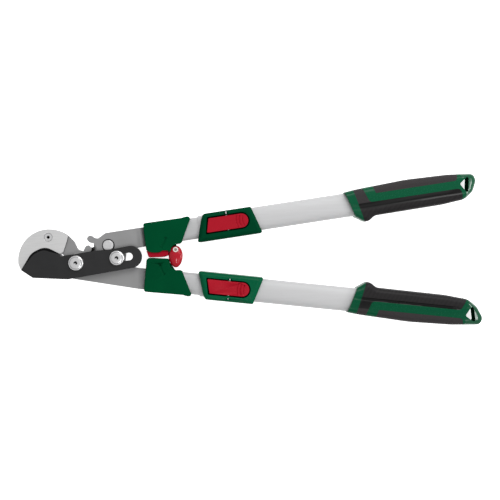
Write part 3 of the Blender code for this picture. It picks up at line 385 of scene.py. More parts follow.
move_ring(blade, BLADE_TOP, blade_outline, drawn_in(blade_outline, grind_share, GRIND_WIDTH))
drill(blade, 0, 0, PIVOT_HOLE, -PAST, BLADE_TOP + PAST)
ahead = Vector((math.cos(math.radians(SLOT_TURN)), math.sin(math.radians(SLOT_TURN))))
near, far = ahead * SLOT_ENDS[0], ahead * SLOT_ENDS[1]
slot_outline = (arc(far.x, far.y, SLOT_HALF_WIDTH, SLOT_TURN - 90, SLOT_TURN + 90)
                + arc(near.x, near.y, SLOT_HALF_WIDTH, SLOT_TURN + 90, SLOT_TURN + 270))
combine(blade, plate("slot_cutter", slot_outline, -PAST, BLADE_TOP + PAST))
soften(blade, 0.35, smooth=20.0)
place(blade, TOOL)
stands_for(blade, "cutting_blade", "blade", "black_steel", coated_steel, ground_coat)
# The slanted faces of the grind take the darker coat, which is partly painted shade.
paint(blade, lambda face: 0.25 < face.normal.z < 0.97 and face.area > 2.0 * MM * MM)


# Hook arm
# The grey steel arm behind the blade, laser cut from plate and tumbled. It turns on the main bolt,
# and its one gear tooth meshes with the upper handle's tang.

GEAR_PIN = (44.9, 24.1)
SLOT_BOLT = (58.4, 5.7)
PITCH_RADIUS = math.hypot(*GEAR_PIN) / 2
LINE_OF_CENTRES = math.degrees(math.atan2(GEAR_PIN[1], GEAR_PIN[0]))
TOOTH_HALF_WIDTH = 11.25
TOOTH_PITCH = 50.0
MESH_OFFSET = 23.5
CARRIER_BACK, CARRIER_TOP = -7.0, -3.0
HOOK = (-40.0, 5.0)
HOOK_RADIUS = 44.2
ARM_ROOT = PITCH_RADIUS - 6.9
SCREW_SPOT = (HOOK[0] - 0.4, HOOK[1] + HOOK_RADIUS - 11.3)
SCREW_HOLE = 2.8


def tooth(x, y, middle, tip, root):
    """One gear tooth, anticlockwise about (x, y), its flanks radial up to the pitch circle, then curved."""
    rolling = PITCH_RADIUS / 2
    arm = PITCH_RADIUS + rolling
    most = math.acos((arm ** 2 + rolling ** 2 - tip ** 2) / (2 * arm * rolling)) / 2
    flank = [(root, TOOTH_HALF_WIDTH), (PITCH_RADIUS, TOOTH_HALF_WIDTH)]
    for step in range(1, 9):
        roll = most * math.sqrt(step / 8)
        px = arm * math.cos(roll) - rolling * math.cos(3 * roll)
        py = arm * math.sin(roll) - rolling * math.sin(3 * roll)
        flank.append((math.hypot(px, py), TOOTH_HALF_WIDTH - math.degrees(math.atan2(py, px))))
    flank = [(r, half) for r, half in flank if r < tip - 2.4]
    shoulder = flank[-1][1]
    flank += [(tip - 1.3, shoulder - 1.9), (tip - 0.5, shoulder - 3.8), (tip - 0.1, shoulder - 5.8)]
    both = [(r, middle - half) for r, half in flank] + [(r, middle + half) for r, half in reversed(flank)]
    return [(x + r * math.cos(math.radians(a)), y + r * math.sin(math.radians(a))) for r, a in both]


def at(x, y, corners):
    """Corners given from a point (x, y)."""
    return [(x + corner[0], y + corner[1], *corner[2:]) for corner in corners]


# Tumbled and oiled steel: an even mid grey with a fine tooth and faint clouds from the heat treatment.
TUMBLED = {"metallic": 0.55, "grain": (900.0, 4.0), "cloud": (35.0, 3.0), "tones": ("#8a8a8a", "#969697"),
           "sheen": (0.42, 0.58), "relief": (0.25, 0.0001)}
grey_steel = finish("tumbled_grey_steel", "#8e8e8f", 0.5, **TUMBLED)

# The cut edges of the plates: dark, with the upright streaks that a laser or a die leaves. The counter edge's
# chamfer facing right also takes it, as a painted shadow line.
blanked_edge_and_shade = finish("blanked_edge_and_shade", "#48484a", 0.55, metallic=0.3, specular=0.2, grain=(800.0, 3.0),
                      stretch=(1.0, 1.0, 0.05), tones=("#3e3e40", "#545456"), relief=(0.3, 0.0001))


def show_cut_edges(piece):
    """Gives a plate's upright faces its second material, the look of the cut edge."""
    paint(piece, lambda face: abs(face.normal.z) < 0.35)


mesh_angle = LINE_OF_CENTRES + MESH_OFFSET
CHOIL_SLIT = [(-21.6 + 1.8 * math.cos(t) + 0.6 * math.sin(t), 12.3 - 1.4 * math.cos(t) + 0.8 * math.sin(t))
              for t in (math.tau * i / 24 for i in range(24))]
hook_inside = at(*HOOK, [(-31.0, -7.4, 18.0), (-22.0, 4.8, 18.0), (-10.0, 12.4, 14.0), (2.0, 11.4, 16.0),
                         (13.0, 2.6, 9.0)])
hook_arm = plate("hook_arm", rounded([
    *arc(*HOOK, HOOK_RADIUS, 52.0, 186.0, 3),
    *at(*HOOK, [(3.6 - HOOK_RADIUS, -13.4, 2.5), (7.6 - HOOK_RADIUS, -16.8, 1.5)]),
    *hook_inside,
    *arc(0, 0, ARM_ROOT, 190, 360 + mesh_angle - TOOTH_HALF_WIDTH - 2),
    *tooth(0, 0, mesh_angle, PITCH_RADIUS + 4.3, ARM_ROOT),
    *arc(0, 0, ARM_ROOT, mesh_angle + TOOTH_HALF_WIDTH + 2, 84),
    (-0.6, 22.4, 6.0), (-3.9, 30.6, 10.0)]), CARRIER_BACK, CARRIER_TOP)
drill(hook_arm, 0, 0, PIVOT_HOLE, CARRIER_BACK - PAST, CARRIER_TOP + PAST)
drill(hook_arm, *SCREW_SPOT, SCREW_HOLE, CARRIER_BACK - PAST, CARRIER_TOP + PAST)
combine(hook_arm, plate("choil_slit", CHOIL_SLIT, CARRIER_BACK - PAST, CARRIER_TOP + PAST))
soften(hook_arm, 0.4, smooth=32.0)
place(hook_arm, TOOL)
stands_for(hook_arm, "hook_carrier", "hook", "grey_steel", grey_steel, blanked_edge_and_shade)
show_cut_edges(hook_arm)


# Counter edge and its screw
# A bright ground plate that lies on the hook arm and is held by one countersunk screw with a hex socket.
# Its concave side is the edge that the blade cuts against.

INSERT_BACK, INSERT_TOP = -2.7, -0.3
SCREW_HEAD = 5.6
SOCKET_TURN = -20.0


def turned(name, profile, centre, sides=72):
    """A turned piece: a filled circle extruded upwards from ring to ring, each ring (radius, height)."""
    x, y = centre
    radius, height = profile[0]
    bpy.ops.object.select_all(action="DESELECT")
    bpy.ops.mesh.primitive_circle_add(vertices=sides, radius=radius * MM, fill_type="NGON",
                                      location=(x * MM, y * MM, height * MM))
    piece = bpy.context.object
    piece.name = name
    bpy.ops.object.transform_apply(location=True, rotation=True, scale=True)
    bpy.ops.object.mode_set(mode="EDIT")
    bpy.ops.mesh.select_all(action="SELECT")
    for wide, high in profile[1:]:
        bpy.ops.mesh.extrude_region_move(TRANSFORM_OT_translate={"value": (0, 0, (high - height) * MM)})
        grow = wide / radius
        bpy.ops.transform.resize(value=(grow, grow, 1), center_override=(x * MM, y * MM, 0))
        radius, height = wide, high
    bpy.ops.object.mode_set(mode="OBJECT")
    even_normals(piece)
    return piece


def hexagon(x, y, across, turn=0.0):
    """The corners of a hexagon, from its width across the flats."""
    reach = across / math.sqrt(3)
    turns = [math.radians(60 * i + turn) for i in range(6)]
    return [(x + reach * math.cos(t), y + reach * math.sin(t)) for t in turns]


# Surface-ground steel: light grey, with fine slanted lines left by the grinding wheel, drawn wider to show.
ground_steel = finish("surface_ground_steel", "#dcdcdc", 0.38, metallic=0.7, grain=(55.0, 5.0), turn=-38.0,
                      stretch=(1.0, 16.0, 1.0), tones=("#d4d4d4", "#e4e4e4"), sheen=(0.32, 0.46),
                      relief=(0.2, 0.00006))

# Bright zinc plate on turned steel: nearly white, with faint rings from the lathe.
zinc_plate = finish("bright_zinc_plate", "#dededf", 0.28, metallic=0.75, grain=(400.0, 3.0),
                    sheen=(0.24, 0.36), relief=(0.15, 0.0001))

# The inside of a hex socket, painted nearly black as painted shade.
socket_shade = finish("socket_painted_shade", "#0c0c0c", 0.6, specular=0.1, grain=(500.0, 2.0),
                     tones=("#080808", "#131313"))

# The floor of the turned-down ring in a bolt's head: zinc painted darker, as painted shade in the groove.
groove_shade_zinc = finish("zinc_groove_painted_shade", "#a6a6a8", 0.42, metallic=0.8, grain=(500.0, 2.0),
                   tones=("#9e9ea0", "#afafb1"))


def cut_socket(piece, centre, across, floor, top):
    """Sinks a tapering hex socket, painted dark inside as painted shade, but for the shallow wall that faces
    the light.
    """
    mouth = hexagon(*centre, across, SOCKET_TURN)
    bottom = hexagon(centre[0] - across * 0.08, centre[1] + across * 0.15, across * 0.42, SOCKET_TURN)
    cutter = plate("socket", mouth, floor, top)
    move_ring(cutter, floor, mouth, bottom)
    combine(piece, cutter)
    for material in (zinc_plate, socket_shade, groove_shade_zinc):
        piece.data.materials.append(material)
    for face in piece.data.polygons:
        away = face.center.xy - Vector(centre) * MM
        slanted = 0.05 < face.normal.z < 0.95
        on_floor = abs(face.center.z / MM - floor) < 0.05
        if away.length < across / math.sqrt(3) * MM and floor - 0.1 < face.center.z / MM < top:
            lit = slanted and face.normal.y > 0.2 and -0.1 < face.normal.x < 0.32
            face.material_index = 1 if (slanted or on_floor) and not lit else 0


counter_edge = plate("counter_edge", rounded([
    *arc(*HOOK, HOOK_RADIUS + 0.3, 50.0, 186.0, 3),
    *at(*HOOK, [(3.2 - HOOK_RADIUS, -13.0, 2.0), (7.2 - HOOK_RADIUS, -16.0, 1.5)]),
    *at(0, 0.9, hook_inside[:-1]),
    *at(*HOOK, [(12.4, 5.0, 3.0), (17.4, 9.2, 2.0), (21.4, 11.6, 3.0), (26.6, 26.5, 20.0)])]),
    INSERT_BACK, INSERT_TOP)
sink = turned("screw_sink", [
    (SCREW_HOLE, INSERT_BACK - PAST), (SCREW_HOLE, INSERT_BACK + 0.1), (SCREW_HEAD + 0.3, INSERT_TOP - 0.6),
    (SCREW_HEAD + 0.3, INSERT_TOP + PAST)], SCREW_SPOT)
combine(counter_edge, sink)
combine(counter_edge, plate("choil_slit", CHOIL_SLIT, INSERT_BACK - PAST, INSERT_TOP + PAST))
soften(counter_edge, 0.5, smooth=32.0)
place(counter_edge, TOOL)
stands_for(counter_edge, "hook_insert", "hook", "bright_edge", ground_steel, blanked_edge_and_shade)
show_cut_edges(counter_edge)
# Painted shadow line: the counter edge's chamfer facing right gets the dark edge material.
for face in counter_edge.data.polygons:
    if face.normal.x > 0.3 and face.normal.z > 0.0 and face.center.x > TOOL.translation.x - 30 * MM:
        face.material_index = 1

insert_screw = turned("insert_screw", [
    (2.5, CARRIER_BACK + 0.3), (2.5, INSERT_BACK + 0.2), (SCREW_HEAD - 0.15, INSERT_TOP - 0.55),
    (SCREW_HEAD, INSERT_TOP - 0.4), (SCREW_HEAD - 0.1, INSERT_TOP - 0.15),
    (SCREW_HEAD - 1.5, INSERT_TOP - 0.1), (3.1, INSERT_TOP - 0.3)], SCREW_SPOT)
cut_socket(insert_screw, SCREW_SPOT, 4.2, INSERT_TOP - 1.2, INSERT_TOP - 0.3)
shade(insert_screw)
place(insert_screw, TOOL)
stands_for(insert_screw, "insert_screw", "hook", "zinc_steel")


# Tangs
# The flat grey steel ends of the two handles. The upper one ends in a gear finger and a tooth and turns
# on the gear pin; the lower one carries both pivots. Each is pressed back in a soft S bend into its tube.

APEX = (-147.8, 5.25)
HANDLE_ANGLE = 7.255
BEND_START, BEND_END = 238.0, 259.0
TAIL_START, TAIL_END, TAIL_HALF_WIDTH = 264.0, 300.0, 12.0
AXIS_Z = -12.5
LOWER_BACK, LOWER_TOP = -11.3, -7.3
HANDLE = Matrix.Translation((-0.395658, 0.0, 0.0285)) @ Matrix.Rotation(math.radians(HANDLE_ANGLE), 4, "Z")
MIRROR = Matrix.Scale(-1, 4, (0, 1, 0))
HANDLES = {"upper": HANDLE, "lower": MIRROR @ HANDLE}


def from_handle(u, v, side):
    """A handle frame point in the tool frame."""
    turn = math.radians(HANDLE_ANGLE * side)
    y = v * side
    return (APEX[0] + u * math.cos(turn) - y * math.sin(turn),
            APEX[1] + u * math.sin(turn) + y * math.cos(turn))


def tail(side, outer, inner):
    """The tang's end in the tool frame, from outside the boss to inside the tube."""
    ends = [(BEND_START, outer), (BEND_END, outer), (TAIL_START, TAIL_HALF_WIDTH),
            (TAIL_END, TAIL_HALF_WIDTH), (TAIL_END, -TAIL_HALF_WIDTH), (TAIL_START, -TAIL_HALF_WIDTH),
            (BEND_END, inner), (BEND_START, inner)]
    return [from_handle(u, v, side) for u, v in ends]


def slice_at(piece, spots, normal):
    """Cuts a piece's faces by planes through some spots, so that they can be bent there."""
    only(piece)
    bpy.ops.object.mode_set(mode="EDIT")
    for spot in spots:
        bpy.ops.mesh.select_all(action="SELECT")
        bpy.ops.mesh.bisect(plane_co=spot, plane_no=normal)
    bpy.ops.object.mode_set(mode="OBJECT")


def bend(piece, side, drop):
    """Presses a plate back by drop in an S bend: cuts across it, then a smooth step."""
    turn = math.radians(HANDLE_ANGLE * side)
    along = Vector((math.cos(turn), math.sin(turn), 0))
    apex = Vector((*APEX, 0)) * MM
    cuts = [BEND_START + (BEND_END - BEND_START) * step / 10 for step in range(11)]
    slice_at(piece, [apex + along * u * MM for u in cuts], along)
    for vert in piece.data.vertices:
        u = (vert.co - apex).dot(along) / MM
        share = min(max((u - BEND_START) / (BEND_END - BEND_START), 0.0), 1.0)
        vert.co.z -= drop * share * share * (3 - 2 * share) * MM


# The same tumbled steel on the tangs, with painted shade: darker towards the bosses, and nearly black in a
# patch below the gear teeth, where the lower tang lies in shadow. The teeth themselves are left light.
tang_steel = finish("tang_steel_painted_shade", "#909091", 0.5, **TUMBLED)
tree, shader = tang_steel.node_tree, shader_of(tang_steel)
tumbled = shader.inputs["Base Color"].links[0].from_socket
spot = node(tree, "TexCoord")
split = node(tree, "SeparateXYZ", links={"Vector": spot.outputs["Object"]})
# Painted shade: darker towards the bosses.
near_boss_shade = node(tree, "MapRange", {"From Min": -0.163, "From Max": -0.149}, {"Value": split.outputs["X"]})
darker = node(tree, "Mix", {"data_type": "RGBA", MIX_SECOND: srgb("#606061")},
              {MIX_SHARE: near_boss_shade.outputs["Result"], MIX_FIRST: tumbled})
# Painted shade: nearly black where the lower tang lies in shadow below the gear teeth.
below_teeth = TOOL @ Vector((21.0 * MM, 19.5 * MM, -7.3 * MM))
away = node(tree, "VectorMath", {"operation": "DISTANCE", 1: below_teeth}, {0: spot.outputs["Object"]})
teeth_shade_share = node(tree, "MapRange", {"From Min": 0.009, "From Max": 0.0055}, {"Value": away.outputs["Value"]})
teeth_shade = node(tree, "Mix", {"data_type": "RGBA", MIX_SECOND: srgb("#101010")},
                   {MIX_SHARE: teeth_shade_share.outputs["Result"], MIX_FIRST: darker.outputs[MIXED]})
tree.links.new(teeth_shade.outputs[MIXED], shader.inputs["Base Color"])

tang_mesh_angle = LINE_OF_CENTRES + 180 - MESH_OFFSET
finger_angle = tang_mesh_angle - TOOTH_PITCH / 2
second_angle = tang_mesh_angle + TOOTH_PITCH / 2
TANG_ROOT = PITCH_RADIUS - 4.4
# The finger is a knob on a neck, given as (radius past the pitch circle, angle from its middle).
FINGER = [(-4.4, -10.2), (-1.0, -9.8), (1.5, -10.6), (3.5, -10.0), (5.4, -8.0), (6.6, -4.6), (7.0, -1.0),
          (6.7, 2.6), (5.6, 5.6), (3.6, 8.2), (1.6, 10.0), (-1.0, 11.25), (-4.4, 11.25)]
finger = [(GEAR_PIN[0] + (PITCH_RADIUS + out) * math.cos(math.radians(finger_angle + turn)),
           GEAR_PIN[1] + (PITCH_RADIUS + out) * math.sin(math.radians(finger_angle + turn)))
          for out, turn in FINGER]
upper_tang = plate("upper_tang", rounded([
    *finger,
    *arc(*GEAR_PIN, TANG_ROOT, finger_angle + TOOTH_HALF_WIDTH + 2, second_angle - TOOTH_HALF_WIDTH - 2),
    *tooth(*GEAR_PIN, second_angle, PITCH_RADIUS + 4.7, TANG_ROOT),
    *at(*SLOT_BOLT, [(-23.4, 1.9, 5.0), (-9.8, -11.1, 9.0), (9.2, -10.9, 7.0), (12.3, 10.9, 3.0)]),
    *tail(1, 12.7, -15.4)[::-1],
    *at(*GEAR_PIN, [(-3.9, 17.9, 4.0), (-14.5, 10.5, 3.0)])]), CARRIER_BACK, CARRIER_TOP)
bend(upper_tang, 1, 7.5)
soften(upper_tang, 0.4, smooth=32.0)
place(upper_tang, TOOL)
stands_for(upper_tang, "upper_tang", "upper_handle", "grey_steel", tang_steel, blanked_edge_and_shade)
show_cut_edges(upper_tang)

lower_tang = plate("lower_tang", rounded([
    (-17.0, -21.2, 13.0), (-17.0, 13.0, 12.0), (15.6, 12.8, 3.0), (16.8, 20.4, 1.5), (24.6, 23.2, 1.5),
    *at(*GEAR_PIN, [(-14.3, 1.5, 3.0), (-12.9, 12.5, 8.0), (12.7, 12.5, 10.0), (15.5, -27.1, 10.0)]),
    (80.5, -8.4, 12.0),
    *tail(-1, 15.2, -15.0)[::-1]]), LOWER_BACK, LOWER_TOP)
bend(lower_tang, -1, 3.2)
soften(lower_tang, 0.4, smooth=32.0)
place(lower_tang, TOOL)
stands_for(lower_tang, "lower_tang", "lower_handle", "grey_steel", tang_steel, blanked_edge_and_shade)
show_cut_edges(lower_tang)


# Bolts, nut, pins and spacers of the head
# Two zinc-plated bolts with flat stepped heads and hex sockets, the main one with a flanged nut behind.
# The gear pin's head is let into the tang over a thin washer, black as painted shade round the head. Spacers
# and clip are plain hidden pieces.

BOLT_SEAT = 4.3
BOLT_TOP = BOLT_SEAT + 5.2


def socket_bolt(name, shank, head, bottom, centre):
    """A bolt from its shank's end up to its stepped head, with a hex socket sunk in it."""
    bolt = turned(name, [
        (shank - 0.5, bottom), (shank, bottom + 0.5), (shank, BOLT_SEAT), (head - 0.3, BOLT_SEAT),
        (head, BOLT_SEAT + 0.3), (head, BOLT_TOP - 2.3), (head - 0.25, BOLT_TOP - 1.6),
        (head - 0.8, BOLT_TOP - 1.1), (head - 1.5, BOLT_TOP - 0.9), (head - 1.8, BOLT_TOP - 1.3),
        (head - 2.3, BOLT_TOP - 1.3), (head - 2.6, BOLT_TOP - 0.8), (head - 3.6, BOLT_TOP - 0.5),
        (head - 6.0, BOLT_TOP - 0.3)], centre)
    cut_socket(bolt, centre, 5.0, BOLT_TOP - 1.3, BOLT_TOP - 0.3)
    # The groove's floor in the head takes the darker zinc, as painted shade.
    for face in bolt.data.polygons:
        out = (face.center.xy - Vector(centre) * MM).length / MM
        if head - 2.4 < out < head - 1.6 and abs(face.center.z / MM - BOLT_TOP + 1.3) < 0.2:
            face.material_index = 2
    shade(bolt, 28.0)
    place(bolt, TOOL)
    return bolt


NUT_TOP, NUT_BOTTOM = -11.6, -18.6
NUT_ACROSS = 17.0
pivot_bolt = socket_bolt("pivot_bolt", 5.7, 10.5, NUT_BOTTOM - 1.0, (0, 0))
stands_for(pivot_bolt, "pivot_bolt", "lower_handle", "zinc_steel")
slot_bolt = socket_bolt("slot_bolt", 4.8, 10.2, CARRIER_BACK, SLOT_BOLT)
stands_for(slot_bolt, "slot_bolt", "upper_handle", "zinc_steel")

pivot_nut = plate("pivot_nut", hexagon(0, 0, NUT_ACROSS), NUT_BOTTOM, NUT_TOP - 1.2)
flange = turned("nut_flange", [(9.6, NUT_TOP - 2.4), (10.6, NUT_TOP - 1.7), (11.0, NUT_TOP - 1.3),
                               (11.0, NUT_TOP)], (0, 0))
# The two parts are drilled before they are joined, because a cut needs a shape that doesn't overlap itself.
for half in (pivot_nut, flange):
    drill(half, 0, 0, PIVOT_HOLE, NUT_BOTTOM - PAST, NUT_TOP + PAST)
only(pivot_nut)
flange.select_set(True)
bpy.ops.object.join()
soften(pivot_nut, 0.4, limit=35.0)
place(pivot_nut, TOOL)
stands_for(pivot_nut, "pivot_nut", "lower_handle", "zinc_steel", zinc_plate)

PIN_HEAD = 7.5
WASHER_BACK, WASHER_TOP = -2.75, -2.5
gear_pin = turned("gear_pin", [
    (4.0, -14.5), (4.5, -14.0), (4.5, -13.1), (3.7, -13.1), (3.7, -11.6), (4.5, -11.6), (4.5, WASHER_BACK),
    (9.1, WASHER_BACK), (9.1, WASHER_TOP), (PIN_HEAD, WASHER_TOP), (PIN_HEAD, -1.1), (7.35, -0.75),
    (6.9, -0.5), (3.0, -0.5)], GEAR_PIN)
shade(gear_pin)
place(gear_pin, TOOL)

# The washer under the pin's head, black as painted shade round the head: dull, with a fine grain.
washer_shade = finish("black_washer_painted_shade", "#1c1c1d", 0.5, specular=0.3, grain=(900.0, 2.0),
                      relief=(0.2, 0.0001))
stands_for(gear_pin, "gear_pin", "lower_handle", "zinc_steel", zinc_plate, washer_shade)
# The washer's faces take the black of the painted shade.
pin_middle = TOOL @ (Vector((*GEAR_PIN, WASHER_TOP)) * MM)
paint(gear_pin, lambda face: (face.center.xy - pin_middle.xy).length > (PIN_HEAD + 0.1) * MM
      and face.center.z < pin_middle.z + 0.1 * MM)


def refinish(node_name, material):
    """Gives a hidden CAD node its material."""
    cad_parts[node_name].data.materials.clear()
    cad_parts[node_name].data.materials.append(material)


for name in ("pivot_spacer", "slot_spacer", "gear_pin_clip"):
    refinish(name, zinc_plate)


# Bosses
# The green moulded knuckles in which tang and tube meet, clamped round both. The upper one is hollowed
# for the bumper and carries the latch on a lug. Shallow grooves from the mould cross their fronts.

REST_Z = -28.5
BOSS_TOP = 3.5
LUG_BACK, LUG_FRONT = -16.5, -9.5
CREASE_WIDTH, CREASE_DEPTH = 6.4, 2.0

# ABS from a spark-eroded mould: deep green with a dull, even sparkle. The 0.6 mm grain is drawn 1.4 mm wide.
green_abs = finish("moulded_green_abs", "#003f24", 0.44, specular=0.015, grain=(700.0, 3.0),
                   cloud=(30.0, 2.0), tones=("#003a21", "#004527"), sheen=(0.38, 0.54),
                   relief=(0.3, 0.00015))

# The upright sides of the green mouldings: the same green, left dull by the mould.
dull_abs = finish("dull_green_abs_sides", "#003820", 0.8, specular=0.0, grain=(300.0, 3.0),
                  tones=("#00341d", "#003c23"))


def boss_outline(side):
    """The boss in the handle frame. Only its ends and its inner side differ from one handle to the other."""
    if side == "upper":
        return [(248.2, 17.8, 3.2), (302.0, 17.2, 8.0), (311.4, 18.2, 3.2), (317.4, 16.8, 3.2),
                (297.8, -19.2, 4.0), (291.0, -19.0, 3.0), (286.2, -19.7, 3.5), (282.2, -23.4, 3.0),
                (281.2, -28.6, 1.5), (278.8, -27.6, 1.0), (277.4, -26.2, 0.5),
                (270.0, -25.0, 3.0), (264.6, -26.9, 6.0), (257.2, -26.2, 6.0), (251.0, -24.2, 3.0),
                (247.0, -20.6, 1.5)]
    return [(246.8, 17.8, 3.2), (302.0, 17.0, 8.0), (310.4, 18.4, 3.2), (316.3, 17.0, 3.2),
            (297.4, -18.8, 3.2), (288.4, -17.6, 5.0), (281.6, -21.2, 6.0), (276.2, -33.0, 3.2),
            (248.6, -31.0, 3.2), (246.0, -27.8, 3.2)]


def groove(name, line, width, low, high):
    """A cutter for a V groove along a line of points: a ribbon round it that narrows to the line below."""
    left, right = [], []
    for i, (x, y) in enumerate(line):
        x0, y0 = line[max(i - 1, 0)]
        x1, y1 = line[min(i + 1, len(line) - 1)]
        across = Vector((y0 - y1, x1 - x0)).normalized() * width / 2
        left.append((x + across.x, y + across.y))
        right.append((x - across.x, y - across.y))
    ribbon = left + right[::-1]
    cutter = plate(name, ribbon, low, high)
    middle = [((x + mx * 4) / 5, (y + my * 4) / 5) for (x, y), (mx, my) in zip(ribbon, line + line[::-1])]
    move_ring(cutter, low, ribbon, middle)
    return cutter


CREASES = {
    "upper": [[(277.4, -6.8), (275.8, -10.0), (273.4, -13.8), (270.6, -17.6), (268.6, -20.4)]],
    "lower": [[(253.4, -23.2), (259.0, -23.4), (265.4, -23.8)],
              [(266.6, -22.6), (267.6, -18.6), (269.2, -14.8), (272.0, -11.4), (274.6, -9.6)]],
}
BOSS_EDGE = {"upper": 1.2, "lower": 2.0}
# The draft at the foot grows in from a place along the handle. The outline is clockwise, so it is negative.
DRAFT = -2.4
DRAFT_FROM = {"upper": 284.0, "lower": 272.0}
DRAFT_GROWS = 6.0

for side in HANDLES:
    mouth = rounded(boss_outline(side))
    boss = plate(side + "_boss", mouth, REST_Z, BOSS_TOP)
    move_ring(boss, REST_Z, mouth, drawn_in(
        mouth, lambda x, y: min(max((x - DRAFT_FROM[side]) / DRAFT_GROWS, 0.0), 1.0), DRAFT))
    soften(boss, BOSS_EDGE[side], 5, 60.0)
    for crease in CREASES[side]:
        combine(boss, groove("crease", crease, CREASE_WIDTH, BOSS_TOP - CREASE_DEPTH, BOSS_TOP + 0.3))
    shade(boss, 35.0)
    place(boss, HANDLES[side])
    if side == "upper":
        latch_x, latch_y = from_handle(288.5, -26.3, 1)
        lug = plate("latch_lug", rounded([
            (latch_x - 7.5, latch_y - 7.5, 5.0), (latch_x + 5.0, latch_y - 7.5, 5.0),
            (latch_x + 5.0, latch_y + 0.5, 3.0), (latch_x - 0.5, latch_y + 5.5, 2.0),
            (latch_x - 0.5, latch_y + 15.0), (latch_x - 7.5, latch_y + 15.0)]), LUG_BACK, LUG_FRONT)
        place(lug, TOOL)
        soften(lug, 0.6, 3, 40.0, 32.0)
        only(boss)
        lug.select_set(True)
        bpy.ops.object.join()
    stands_for(boss, side + "_boss", side + "_handle", "green_plastic", green_abs, dull_abs)
    paint(boss, lambda face: abs(face.normal.z) < 0.3)


# Bumper
# A red rubber stop let into the upper boss. It meets the lower boss when the handles close.

# Dense moulded rubber, coloured through: red with a soft sheen and a faint mottle.
red_rubber = finish("moulded_red_rubber", "#940e20", 0.5, specular=0.04, grain=(350.0, 3.0),
                    tones=("#8d0b1d", "#9b1225"), relief=(0.3, 0.00015))

BUMPER_BACK, BUMPER_TOP = -25.5, 0.5
bumper_line = [(0.0, -20.6, 1.0), (4.6, -24.2, 3.0), (10.8, -26.2, 6.0), (18.2, -26.9, 6.0),
               (23.6, -25.0, 3.0), (31.2, -26.6, 1.5)]
bumper_seat = [(*from_handle(246.4 + u, v + 0.5, 1), fillet) for u, v, fillet in bumper_line]
left, right = bumper_seat[0][0], bumper_seat[-1][0]
bumper = plate("bumper", rounded(bumper_seat + [(right - 0.1, 7.8, 1.5), (right - 9.0, 5.2, 12.0),
                                                (left + 3.6, 5.2, 3.0)]), BUMPER_BACK, BUMPER_TOP)
soften(bumper, 0.8, 4, 60.0)
place(bumper, TOOL)
stands_for(bumper, "handle_bumper", "upper_handle", "red_plastic", red_rubber)


# Latch
# A red egg-shaped knob that turns on a screw in the upper boss's lug and holds the handles shut.
# Its front is domed and polished, its back flat; the screw's washer shows as a bright ring.

# Polished red ABS: clear red with a crisp highlight and the slight waviness of a moulding.
red_abs = finish("polished_red_abs", "#9e081d", 0.12, specular=0.36, grain=(160.0, 2.0),
                 tones=("#99071b", "#a50b21"), sheen=(0.09, 0.15), relief=(0.03, 0.0002))

LATCH_BACK, DOME_START, LATCH_TOP = -9.2, -3.0, 2.8
LATCH_HALF = (10.1, 15.6)
knob_x, knob_y = latch_x - 0.5, latch_y - 10.2


def egg(share):
    """The knob's outline, a little fuller towards the screw, at a share of its size."""
    turns = [math.tau * i / 64 for i in range(64)]
    return [(knob_x + LATCH_HALF[0] * share * math.cos(t) * (1 + 0.10 * math.sin(t)),
             knob_y + LATCH_HALF[1] * share * math.sin(t)) for t in turns]


dome = [(0.93, LATCH_BACK), (0.98, LATCH_BACK + 0.4), (1.0, LATCH_BACK + 1.2)]
for step in range(1, 15):
    rise = math.pi / 2 * step / 15
    dome.append((math.cos(rise) ** 1.05, DOME_START + (LATCH_TOP - DOME_START) * math.sin(rise)))
knob = plate("latch_knob", egg(dome[0][0]), *[height for share, height in dome])
for vert in knob.data.vertices:
    share, height = min(dome, key=lambda row: abs(row[1] - vert.co.z / MM))
    grow = share / dome[0][0]
    vert.co.x = knob_x * MM + (vert.co.x - knob_x * MM) * grow
    vert.co.y = knob_y * MM + (vert.co.y - knob_y * MM) * grow
drill(knob, latch_x, latch_y, 4.0, LATCH_TOP - 2.7, LATCH_TOP + 2)
shade(knob)
place(knob, TOOL)
stands_for(knob, "latch_knob", "latch", "red_plastic", red_abs)

latch_screw = turned("latch_screw", [
    (2.0, -15.5), (2.0, 0.4), (3.5, 0.4), (3.7, 0.6), (3.7, 2.1), (3.5, 2.45), (3.2, 2.6), (2.1, 2.6),
    (1.9, 1.9), (1.0, 1.7)], (latch_x, latch_y), 48)
shade(latch_screw, 28.0)

# White nylon, used for the washer moulded on the latch screw: clean and slightly glossy.
white_nylon = finish("white_nylon", "#d6cbc6", 0.35, specular=0.3, grain=(300.0, 2.0), sheen=(0.3, 0.42))

# Dull nickel on the head of the latch screw, a warm grey.
dull_nickel = finish("dull_nickel", "#8d8a80", 0.4, metallic=0.8, grain=(500.0, 2.0),
                     tones=("#858278", "#969389"))

stands_for(latch_screw, "latch_screw", "upper_handle", "zinc_steel", white_nylon, dull_nickel)
paint(latch_screw, lambda face: (face.center.xy - Vector((latch_x, latch_y)) * MM).length < 2.0 * MM
      or face.center.z < 0.45 * MM)
place(latch_screw, TOOL)


# Tubes
# Two oval aluminium tubes in each handle, drawn and satin anodised. The thinner one is pinned to the tang
# and has a row of holes for the length lock; the wider one slides over it and carries the grip.

INNER_SIZE, INNER_WALL, INNER_SPAN = (31.2, 16.4), 1.4, (266.0, 680.0)
OUTER_SIZE, OUTER_WALL, OUTER_SPAN = (34.8, 20.0), 1.5, (326.0, 694.0)
DETENTS = (346.0, 406.0, 466.0, 526.0, 586.0)
DETENT_RADIUS = 3.0
# The power in the ovals' outline: 1 gives an ellipse, and less a fuller section with flatter sides.
FULLNESS = 0.77


def oval(width, height, sides=72):
    """A drawn tube's section, a soft oval, as (across, up) from its middle."""
    points = []
    for i in range(sides):
        c, s = math.cos(math.tau * i / sides), math.sin(math.tau * i / sides)
        points.append((math.copysign(abs(c) ** FULLNESS, c) * width / 2,
                       math.copysign(abs(s) ** FULLNESS, s) * height / 2))
    return points


